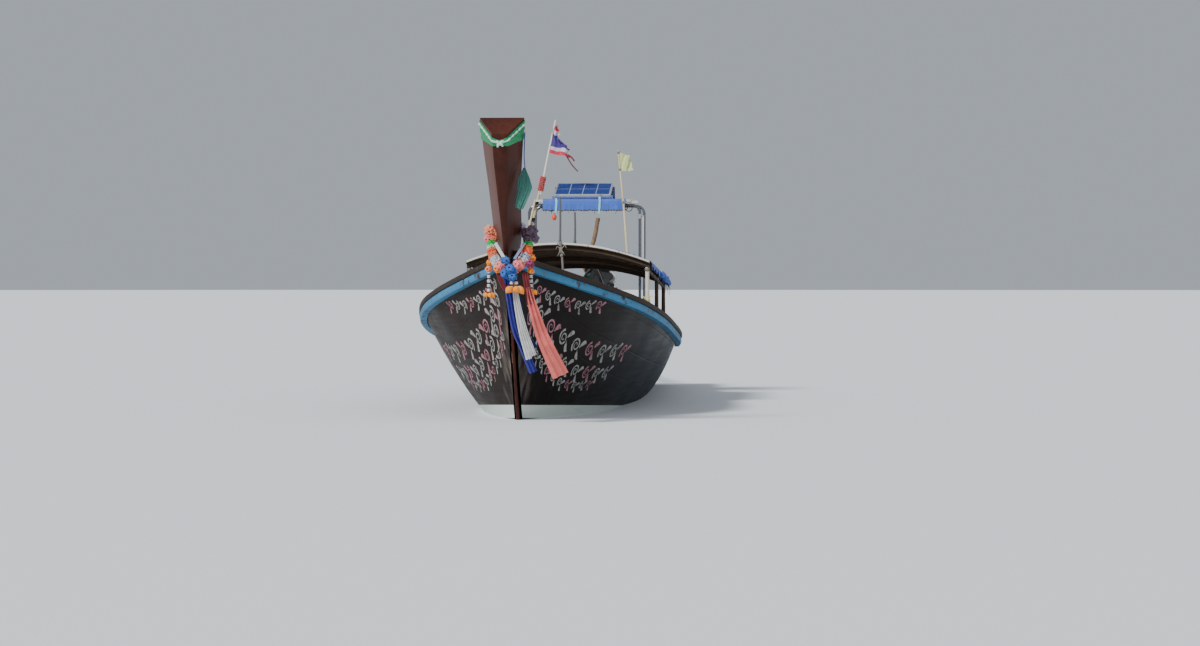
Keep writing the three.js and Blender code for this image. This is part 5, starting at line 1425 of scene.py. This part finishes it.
class LONGTAIL_OT_stem_dress(bpy.types.Operator):
    """Builds the green band, the cloths, the garland of cloth flowers, the tassels and the ribbons"""

    bl_idname = "longtail.stem_dress"
    bl_label = "Stem dress"

    def execute(self, context):
        self.band()
        self.cloths()
        self.garland()
        self.tassels()
        self.ribbons()
        return {"FINISHED"}

    def band(self):
        """The green ribbon round the head, gathered in the middle, with a twist and a knot on it."""
        steps, rise = 150, 16

        def near_front(u):
            return math.exp(-((u - STEM_FRONT) / 0.06) ** 2)

        grid = []
        for i in range(steps):
            u = i / steps
            front = 1 - min(1.0, abs(u - STEM_FRONT) / STEM_FRONT) if u < STEM_BACK else 0.0
            knot = near_front(u)
            low = 0.9475 + 0.0155 * front + 0.002 * knot
            high = 0.9945 - 0.003 * front - 0.0095 * knot
            row = []
            for j in range(rise + 1):
                v = j / rise
                fold = 0.5 + 0.5 * math.sin(6.3 * 2.6 * v + 2.5 * math.sin(9 * u * 2) + 4 * u)
                off = 0.0035 + 0.006 * fold * math.sin(math.pi * v) ** 0.5 + 0.005 * knot
                row.append(around_stem(low + (high - low) * v, u, off))
            grid.append(row)
        grid.append(grid[0])
        rings = sheet_rings(grid, 0.0018)
        rings[-1] = rings[0]
        band = dress(loft(rings, 80), "head_band", "green", ("stem_band",))
        twist = []
        for k in range(25):
            u = STEM_BACK * k / 24
            front = 1 - abs(u - STEM_FRONT) / STEM_FRONT
            twist.append(around_stem(0.987 - 0.006 * front - 0.009 * near_front(u), u, 0.0105))
        rings = tube_rings(twist, lambda t: 0.0075 + 0.0022 * math.sin(75 * t), 12, 150)
        dress(loft(rings, 80), "head_band_twist", "mint")
        knot = around_stem(0.972, STEM_FRONT, 0.016)
        runs = []
        for dx, dz in ((-0.034, 0.01), (0.04, 0.014), (-0.018, -0.03), (0.026, -0.024)):
            loop = bowed(knot, knot + Vector((dx, 0.004, dz)), (0, -0.012, 0.006))
            runs.append(tube_rings(loop, lambda t: 0.006 + 0.006 * math.sin(math.pi * t), 12, 14))
        runs += bloom(knot, Vector((0.3, 1, 0.2)).normalized(), 0.017, 71, 3)
        dress(skins(runs, 80), "head_band_knot", "mint")

    def cloths(self):
        """The violet tail that hangs from the band, and the teal cloth at its end."""
        tail = route([(0.186, -1.222, 2.37), (0.176, -1.165, 2.27), (0.17, -1.125, 2.17),
                      (0.176, -1.118, 2.075)])
        grid = ribbon_grid(tail, 0.026, (0.2, 1, 0), 40, 8, 0.002, 1.5)
        cloth_piece("violet_tail", grid, 0.0014, "blue")
        left = route([(0.162, -1.116, 2.088), (0.12, -1.124, 1.99), (0.112, -1.122, 1.9),
                      (0.1, -1.116, 1.762)])
        right = route([(0.178, -1.116, 2.09), (0.215, -1.116, 2.0), (0.236, -1.116, 1.925),
                       (0.205, -1.116, 1.84), (0.158, -1.118, 1.748)])
        fold = wobble(51, (5.0, 0.007), (11.0, 0.004))
        grid = cloth_grid(left, right, 46, 24, lambda u, v: (
            0, -0.004 - abs(fold(u * 2.2 + v * 0.7)) * (0.4 + v), 0.004 * math.sin(8 * u) * v))
        cloth_piece("stem_cloth_folds", grid, 0.0016, "teal",
                    ("stem_cloth",))

    def garland(self):
        """The ring of bands of cloth flowers, the loose blooms on it and the two ribbons inside it."""
        ring = route(GARLAND, DRESS_SHIFT)
        frills = bpy.context.scene.longtail_dress.petals
        by_tint = {}
        for k, (t, tint, radius) in enumerate(BLOOMS):
            run = (loop_point(ring, t + 0.01) - loop_point(ring, t - 0.01)).normalized()
            flower = bloom(loop_point(ring, t), run, radius, k + 1, frills, 0.28, 0.14, 0.07)
            by_tint.setdefault(tint, []).extend(flower)
        chance = random.Random(77)
        for k, (x, s, z, tint, radius) in enumerate(CLUSTERS):
            axis = Vector([chance.uniform(-1, 1), -1.2, chance.uniform(-0.6, 0.9)]).normalized()
            by_tint.setdefault(tint, []).extend(bloom(at(x, s, z), axis, radius, k + 101, frills + 1))
        core = [loop_point(ring, k / 64) for k in range(65)]
        dress(loft(tube_rings(core, 0.014, 10, 128), 60), "garland_cord", "red_wrap",
              ("stem_garland",))
        for tint, runs in by_tint.items():
            look = petal_finish("petal_" + tint)
            dress(skins(runs, 60), "garland_" + look, look)
        for name, look, x, top_z, end_x, end_z in (
                ("inner_ribbon_starboard", "white", -0.09, 1.48, -0.012, 1.36),
                ("inner_ribbon_port", "lilac", 0.15, 1.48, 0.075, 1.35)):
            points = route([(x, -0.9, top_z), ((x + end_x) / 2, -0.94, (top_z + end_z) / 2),
                            (end_x, -0.975, end_z)])
            grid = ribbon_grid(points, 0.026, (1, -0.3, 0.5), 24, 8, 0.003, 1.5)
            cloth_piece(name, grid, 0.0014, look)

    def tassels(self):
        """Four strings of white and dark beads, and the amber petals at their ends."""
        strings = [(-0.147, -0.872, 1.27, 1.035), (0.045, -0.972, 1.18, 1.095),
                   (0.095, -0.972, 1.18, 1.095), (0.2, -0.872, 1.27, 1.06)]
        pitch = 0.0125
        pale, dark, petals = [], [], []
        for x, station, top, low in strings:
            middle = station < -0.9
            beads = int((top - low) / pitch)
            for k in range(beads):
                slant = (0.07 - x) * 0.25 * (1 - k / beads) if middle else 0
                centre = at(x + slant, station, top - pitch * (k + 0.5))
                angles = (0.12, 0.7, 1.3, 1.85, 2.45, 3.02)
                bead = ball_rings(centre, 0.0155 if k % 3 else 0.0105, 0.0068, angles, 10)
                (pale if k % 3 else dark).append(bead)
            if not middle:
                petals += self.petals(at(x, station, low + 0.03), 5, 0.07, len(petals))
        petals += self.petals(at(0.072, -0.976, 1.115), 5, 0.11, 9)
        dress(skins(pale, 80), "tassel_beads_white", "beads", ("tassel_middle",))
        dress(skins(dark, 80), "tassel_beads_dark", "black", ("tassel_starboard",))
        dress(skins(petals, 80), "tassel_petals", petal_finish("petal_amber"),
              ("tassel_port",))

    def petals(self, top, count, length, seed):
        """Runs of cupped petals that open downward from one point."""
        chance = random.Random(seed + 500)
        runs = []
        for straight in turns(count):
            turn = straight + chance.uniform(-0.25, 0.25)
            out = Vector((math.cos(turn), math.sin(turn) * 0.6, 0))
            tip = top + out * length * 0.72 + above(-length * chance.uniform(0.12, 0.5))
            middle = top + out * length * 0.42 + above(-length * 0.1)
            runs.append(tube_rings([top, middle, tip], lambda t: (
                0.003 + length * 0.23 * math.sin(math.pi * t ** 1.2)), 14, 14))
        return runs

    def ribbons(self):
        """The ribbons that hang from the garland."""
        # Each ribbon: look, slot, width, share of it at the top, curl, node it stands for, points.
        table = [
            ("blue", "ribbon_blue", 0.07, 0.9, 0.008, "blue_ribbon",
             [(-0.017, -0.928, 1.2), (0.042, -0.87, 0.806), (0.105, -0.79, 0.622),
              (0.178, -0.72, 0.42)]),
            ("blue", "ribbon_blue", 0.04, 0.9, 0.005, None,
             [(0.06, -0.92, 1.1), (0.13, -0.86, 0.76), (0.205, -0.79, 0.62)]),
            ("white", "ribbon_white", 0.05, 0.7, 0.006, "white_ribbon",
             [(0.04, -0.945, 1.2), (0.058, -0.935, 1.016), (0.095, -0.885, 0.769),
              (0.152, -0.815, 0.53)]),
            ("white", "ribbon_white", 0.045, 0.6, 0.006, None,
             [(0.05, -0.95, 1.2), (0.075, -0.94, 1.0), (0.13, -0.885, 0.76),
              (0.193, -0.81, 0.56)]),
            ("coral", "ribbon_coral", 0.14, 0.25, 0.01, "coral_ribbon",
             [(0.157, -0.93, 1.12), (0.187, -0.92, 0.989), (0.269, -0.86, 0.715),
              (0.41, -0.78, 0.3935)]),
            ("dark_red", "ribbon_coral", 0.06, 0.8, 0.006, None,
             [(0.13, -0.935, 1.24), (0.15, -0.935, 1.12), (0.175, -0.92, 0.98)]),
            ("dark_red", "ribbon_coral", 0.04, 0.8, 0.004, None,
             [(-0.09, -0.93, 1.24), (-0.07, -0.935, 1.18), (-0.03, -0.93, 1.1)]),
        ]
        folds = bpy.context.scene.longtail_dress.folds
        for k, (look, slot, width, narrow, curl, node, points) in enumerate(table):
            path = route(points, DRESS_SHIFT)
            grid = ribbon_grid(path, width, (1, 0.12, 0.25), 70, 22, curl, folds, narrow)
            cloth_piece(f"hanging_ribbon_{k + 1}", grid, 0.0016, look,
                        (node,) if node else ())


# Painted scrolls on the bows

def run_scale(t, v):
    """Metres along the planks for each unit of t."""
    return (hull_point(t + 0.01, v) - hull_point(t - 0.01, v)).length / 0.02


# Rows of the vine: height up the planks at its start, size of a scroll, number of scrolls.
VINES = [(0.8, 0.062, 8), (0.665, 0.096, 9), (0.55, 0.086, 9), (0.43, 0.056, 11)]


class LONGTAIL_OT_bow_paint(bpy.types.Operator):
    """Paints faded vines of scrolls and leaves on both bows"""

    bl_idname = "longtail.bow_paint"
    bl_label = "Bow paint"

    def execute(self, context):
        rows = VINES[:context.scene.longtail_hull.vine_rows]
        for word, side in SIDES.items():
            pink, white = [], []
            for row, (v0, size, count) in enumerate(rows):
                t0 = 0.112 + 0.018 * row
                for k in range(count):
                    runs = self.scroll(side, t0, v0, size, 1 if (k + row) % 2 else -1)
                    (pink if (k + 2 * row) % 3 == 1 else white).extend(runs)
                    t0 += size * 2.5 / run_scale(t0, v0)
                    v0 += 0.02
            for name, runs in (("pink", pink), ("white", white)):
                dress(skins(runs, 80), f"bow_vine_{name}_{word}", f"{name}_paint")
        return {"FINISHED"}

    def scroll(self, side, t0, v0, size, flip):
        """Runs of flat strokes: a spiral with two leaves, lying on the planks."""
        spiral = []
        for k in range(25):
            turn = 3.4 * math.pi * k / 24
            r = size * (0.12 + 0.6 * k / 24)
            spiral.append((r * math.cos(turn), r * math.sin(turn)))
        strokes = [(spiral, lambda t: size * (0.06 + 0.16 * t))]
        for start, end, bend in (((0.7, 0.0), (1.5, 0.6), 0.3), ((0.6, -0.3), (1.4, -0.9), -0.25)):
            leaf = []
            for k in range(11):
                u = k / 10
                a = start[0] + (end[0] - start[0]) * u
                b = start[1] + (end[1] - start[1]) * u + bend * math.sin(math.pi * u)
                leaf.append((a * size, b * size))
            strokes.append((leaf, lambda t: (
                size * 0.42 * math.sin(math.pi * min(1, 0.06 + 0.92 * t)) + 0.001)))
        along_t = run_scale(t0, v0)
        along_v = (hull_point(t0, v0 + 0.02) - hull_point(t0, v0 - 0.02)).length / 0.04

        def ring(a, b, na, nb):
            """Six points round a flat stroke of paint whose middle is at a, b."""
            points = []
            for off, signs in ((0.0006, (1, 0, -1)), (0.0018, (-1, 0, 1))):
                for sign in signs:
                    t = t0 + (a + sign * na) / along_t
                    v = v0 + flip * (b + sign * nb) / along_v
                    points.append(hull_point(t, v) + hull_normal(t, v) * off)
            return mirrored(points, side)

        runs = []
        for line, width in strokes:
            rings = []
            for k, (a, b) in enumerate(line):
                before, after = line[max(0, k - 1)], line[min(len(line) - 1, k + 1)]
                da, db = after[0] - before[0], after[1] - before[1]
                long = math.hypot(da, db) or 1
                w = width(k / (len(line) - 1)) / 2
                rings.append(ring(a, b, -db / long * w, da / long * w))
            runs.append(rings)
        return runs


# Engine

# Lengths are from the trunnion, with Y aft along the tail, which rests nine degrees down.
SWIVEL_PLACE = Matrix.Translation((0, along(8.85), 0.85)) @ Matrix.Rotation(math.radians(-9), 4, "X")
CRANK_Z = 0.15
HEAD_TOP = 0.372
PORTS_Z = HEAD_TOP - 0.039
BLOCK_FRONT, BLOCK_BACK = -0.7, -0.262
HUB = 3.8008


def engine_piece(obj, name, look, replaces=(), body="engine"):
    """Puts a piece modelled from the trunnion in its place on the boat."""
    obj.data.transform(SWIVEL_PLACE)
    return dress(obj, name, look, replaces, body)


def bolt_run(place, axis, radius=0.006, height=0.006):
    """Rings of a six-sided bolt head."""
    place, axis = Vector(place), Vector(axis)
    return tube_rings([place, place + axis * height], radius, 6)


def spoke(turn):
    """A unit step square to the tail; turn goes from port, at 0, to straight up, at pi / 2."""
    return Vector((math.cos(turn), 0, math.sin(turn)))


class LONGTAIL_OT_engine(bpy.types.Operator):
    """Finishes the engine: paint, exhaust, hoses, fuel pipes, fan, bolts, tiller grips and propeller"""

    bl_idname = "longtail.engine"
    bl_label = "Engine and tail"

    def execute(self, context):
        paint_nodes({
            "iron": ("swivel_yoke", "engine_cradle", "tail_tube", "tail_fin", "skeg"),
            "alloy": ("valve_cover", "bell_housing", "alternator"),
            "black": ("belt_drive", "air_cleaner"),
            "engine": ("engine_block",),
            "steel": ("tiller",),
        })
        self.exhaust()
        self.pipes()
        self.fan()
        self.bolts()
        self.grips()
        self.propeller()
        return {"FINISHED"}

    def exhaust(self):
        """The rusty stack, with its flange, and the log with its four ports on the head."""
        out, y = -0.0923, BLOCK_FRONT + 0.2
        path = [(out - 0.032, y, HEAD_TOP - 0.03), (out - 0.036, y, HEAD_TOP + 0.09),
                (-0.082, y + 0.01, HEAD_TOP + 0.2), (-0.043, y + 0.02, HEAD_TOP + 0.31),
                (-0.006, y + 0.022, HEAD_TOP + 0.53)]
        runs = [tube_rings(path, lambda t: 0.023 + 0.0007 * math.sin(40 * t), 22, 60)]
        log = [(out - 0.031, end, PORTS_Z) for end in (BLOCK_FRONT + 0.06, BLOCK_BACK - 0.06)]
        runs.append(tube_rings(log, 0.027, 20, 24))
        for k in range(4):
            port = Vector((out + 0.0002, BLOCK_FRONT + 0.095 + 0.083 * k, PORTS_Z))
            runs.append(tube_rings([port, port + Vector((-0.03, 0, 0))], 0.021, 16))
        flange = Vector(path[0]) + above(0.03)
        runs.append(tube_rings([flange, flange + above(0.012)], 0.04, 20))
        engine_piece(skins(runs, 50), "exhaust_pipe", "rust", ("exhaust_stack",))

    def pipes(self):
        """The cooling hose, the fuel pump with a pipe to each cylinder, and the oil filter."""
        hose = [(-0.05, BLOCK_FRONT + 0.002, 0.3), (-0.075, BLOCK_FRONT - 0.05, 0.29),
                (-0.14, BLOCK_FRONT + 0.02, 0.2), (-0.152, -0.45, 0.13), (-0.15, -0.2, 0.125),
                (-0.128, -0.02, 0.135), (-0.05, 0.18, 0.135)]
        engine_piece(loft(tube_rings(hose, 0.014, 14, 90), 60), "cooling_hose", "rubber")
        runs = [tube_rings([(0.145, -0.4, 0.19), (0.145, -0.3, 0.19)], 0.026, 18)]
        for k in range(4):
            y = BLOCK_FRONT + 0.085 + 0.09 * k
            line = [(0.145, -0.38 + 0.02 * k, 0.215), (0.15, -0.4 + 0.01 * k, 0.28), (0.118, y, 0.33),
                    (0.0965, y, 0.345)]
            runs.append(tube_rings(line, 0.0035, 8, 24))
        engine_piece(skins(runs, 50), "fuel_pipes", "steel")
        filter_ends = [(0.113, -0.335, 0.14), (0.2, -0.335, 0.14)]
        engine_piece(tube(filter_ends, 0.034, 24), "oil_filter", "red_tin")

    def fan(self):
        """Six twisted blades on a boss."""
        middle = Vector((0, BLOCK_FRONT - 0.042, 0.318))
        ends = [middle + Vector((0, y, 0)) for y in (0.0075, -0.014)]
        runs = [tube_rings(ends, 0.03, 18)]
        twist = 0.45
        astern = Vector((0, 1, 0))
        for turn in turns(6):
            out, side = spoke(turn), Vector((-math.sin(turn), 0, math.cos(turn)))
            across = side * math.cos(twist) + astern * math.sin(twist)
            through = (side * -math.sin(twist) + astern * math.cos(twist)) * 0.0015
            rings = []
            for i in range(7):
                half = 0.014 + 0.018 * i / 6
                centre = middle + out * (0.024 + 0.096 * i / 6)
                rings.append([centre - across * half - through, centre + across * half - through,
                              centre + across * half + through, centre - across * half + through])
            runs.append(rings)
        engine_piece(skins(runs), "cooling_fan", "black")

    def bolts(self):
        """Bolts of the valve cover, bell housing, tail flange, trunnions and engine feet."""
        runs = []
        for k in range(5):
            for side in (-1, 1):
                place = (side * 0.05, BLOCK_FRONT + 0.07 + 0.075 * k, HEAD_TOP + 0.047)
                runs.append(bolt_run(place, (0, 0, 1)))
        crank = above(CRANK_Z)
        for turn in turns(12, 0.5):
            if math.sin(turn) > -0.7:
                place = crank + spoke(turn) * 0.124 + Vector((0, BLOCK_BACK + 0.06, 0))
                runs.append(bolt_run(place, (0, 1, 0), 0.008, 0.007))
        for turn in turns(6):
            place = crank + spoke(turn) * 0.051 + Vector((0, 0.172, 0))
            runs.append(bolt_run(place, (0, 1, 0), 0.0065))
        for side in (-1, 1):
            runs.append(bolt_run((side * 0.1175, 0, 0), (side, 0, 0), 0.014, 0.008))
            for y in (-0.65, -0.332):
                runs.append(bolt_run((side * 0.098, y, 0.105), (0, 0, 1), 0.009, 0.008))
        engine_piece(skins(runs), "engine_bolts", "steel")

    def grips(self):
        """The ribbed grips of the handle and the throttle cable that leads to it."""
        runs = []
        for side in (-1, 1):
            ends = [(side * 0.05, -1.545, 0.296), (side * 0.149, -1.545, 0.296)]
            runs.append(tube_rings(ends, lambda t: 0.0185 + 0.0012 * math.sin(70 * t), 18, 60))
        engine_piece(skins(runs, 60), "tiller_grips", "rubber")
        cable = [(0.1, -0.36, 0.2), (0.14, -0.56, 0.08), (0.12, -0.88, 0.05), (0.08, -1.18, 0.215),
                 (0.02, -1.53, 0.32)]
        engine_piece(tube(cable, 0.004, 8, 60), "throttle_cable", "rubber")

    def propeller(self):
        """The boss with its nut, and two blades whose pitch falls toward the tips."""
        profile = [(0.0, 0.031), (0.004, 0.033), (0.03, 0.0325), (0.07, 0.0295), (0.088, 0.027),
                   (0.092, 0.0245)]
        boss = [[Vector((r * math.cos(a), HUB + y, r * math.sin(a))) for a in turns(32)]
                for y, r in profile]
        nut = tube_rings([(0, HUB + 0.091, 0), (0, HUB + 0.118, 0)], lambda t: 0.016 - 0.004 * t, 6)
        runs = [boss, nut]
        for turn in (0, math.pi):
            rings = []
            for i in range(25):
                u = i / 24
                radius = 0.018 + 0.15 * u
                pitch = math.radians(62 - 38 * u)
                chord = 0.052 * math.sqrt(max(0.06, 1 - (2 * u - 0.85) ** 2 * 0.72))
                chord *= 1 - 0.55 * max(0, (u - 0.9) / 0.1) ** 2
                thick = 0.0065 - 0.0045 * u
                ring = []
                for a in turns(20):
                    c, t = chord * math.cos(a), thick * math.sin(a) * (1 - 0.4 * math.cos(a) ** 2)
                    side = c * math.cos(pitch) - t * math.sin(pitch)
                    back = c * math.sin(pitch) * 0.62 + t * math.cos(pitch)
                    x = side * math.cos(turn) + radius * math.sin(turn)
                    z = radius * math.cos(turn) - side * math.sin(turn)
                    ring.append(Vector((x, HUB + 0.046 + back, z)))
                rings.append(ring)
            runs.append(rings)
        wheel = skins(runs, 50)
        wheel.data.transform(Matrix.Translation((0, 0, CRANK_Z)))
        engine_piece(wheel, "propeller_blades", "bronze", ("propeller",), "propeller")


# Stage

CAMERA = {"focal_px": 3700, "image_width": 1200, "sensor": 36.0, "height": 1.26,
          "place": (3.169, -35.746), "heading": 4.57, "pitch": -0.82}
FLOOR_REACH = 200.0


def waterline_loop():
    """The hull's edge at the water, inside the thickness of its planks, once round."""
    port = []
    for i in range(101):
        t = 0.28 + 0.72 * i / 100
        if hull_point(t, 0, PLANK / 2).z > 0:
            continue
        edge = last_where(lambda v: hull_point(t, v, PLANK / 2).z < 0)
        here = hull_point(t, edge, PLANK / 2)
        port.append(Vector((max(here.x, 0.02), min(here.y, along(9.58)), 0)))
    bow = Vector((0, along(0.15), 0))
    return [bow, *port, *mirrored(port[::-1], -1)]


class LONGTAIL_OT_stage(bpy.types.Operator):
    """Adds the pale floor at the water's level, the soft lights and the photograph's camera"""

    bl_idname = "longtail.stage"
    bl_label = "Stage"

    def execute(self, context):
        bpy.ops.object.select_all(action="DESELECT")
        inner = waterline_loop()
        outer = [p.normalized() * FLOOR_REACH for p in inner]
        count = len(inner)
        faces = [(j, count + j, count + (j + 1) % count, (j + 1) % count) for j in range(count)]
        floor = mesh_piece("floor", inner + outer, faces)
        outward(floor)
        if floor.data.polygons[0].normal.z < 0:
            floor.data.flip_normals()
        pale = Finish("Pale floor", roughness=0.9)
        pale.colour((0.72, 0.74, 0.76, 1))
        floor.data.materials.append(pale.material)
        world = bpy.data.worlds.new("Pale sky")
        context.scene.world = world
        world.use_nodes = True
        back = world.node_tree.nodes["Background"]
        back.inputs["Color"].default_value = (0.78, 0.86, 0.96, 1)
        back.inputs["Strength"].default_value = 0.5
        for name, energy, turn, angle in (("key", 4.2, (50, 0, -38), 12),
                                          ("fill", 0.5, (62, 0, 40), 60)):
            bpy.ops.object.light_add(type="SUN", rotation=[math.radians(a) for a in turn])
            lamp = context.object
            lamp.name = name
            lamp.data.energy = energy
            lamp.data.angle = math.radians(angle)
        lens = CAMERA["focal_px"] / CAMERA["image_width"] * CAMERA["sensor"]
        bpy.ops.object.camera_add(location=(*CAMERA["place"], CAMERA["height"]))
        camera = context.object
        camera.data.lens = lens
        camera.data.sensor_width = CAMERA["sensor"]
        camera.data.clip_end = 500
        camera.rotation_euler = (math.radians(90 + CAMERA["pitch"]), 0, math.radians(CAMERA["heading"]))
        context.scene.camera = camera
        return {"FINISHED"}


class LONGTAIL_PT_panel(bpy.types.Panel):
    """Lists the boat's pieces in the sidebar"""

    bl_idname = "LONGTAIL_PT_panel"
    bl_label = "Longtail boat"
    bl_space_type = "VIEW_3D"
    bl_region_type = "UI"
    bl_category = "Longtail"

    def draw(self, context):
        layout = self.layout
        for name, group_type in SETTINGS.items():
            for setting in group_type.__annotations__:
                layout.prop(getattr(context.scene, name), setting)
        for piece in PIECES:
            layout.operator(piece.bl_idname)


PIECES = [LONGTAIL_OT_stage, LONGTAIL_OT_hull, LONGTAIL_OT_rails, LONGTAIL_OT_bow_paint,
          LONGTAIL_OT_roof, LONGTAIL_OT_canopy, LONGTAIL_OT_flags, LONGTAIL_OT_stem_dress,
          LONGTAIL_OT_engine]
SETTINGS = {"longtail_hull": HullSizes, "longtail_colours": BoatColours, "longtail_dress": DressSizes}
CLASSES = [*SETTINGS.values(), *PIECES, LONGTAIL_PT_panel]


def register():
    for cls in CLASSES:
        bpy.utils.register_class(cls)
    for name, group_type in SETTINGS.items():
        setattr(bpy.types.Scene, name, bpy.props.PointerProperty(type=group_type))


def unregister():
    for name in SETTINGS:
        delattr(bpy.types.Scene, name)
    for cls in reversed(CLASSES):
        bpy.utils.unregister_class(cls)


def main():
    register()
    FINISHES.update(build_finishes(bpy.context.scene.longtail_colours))
    for piece in PIECES:
        area, name = piece.bl_idname.split(".")
        getattr(getattr(bpy.ops, area), name)()


if __name__ == "__main__":
    main()
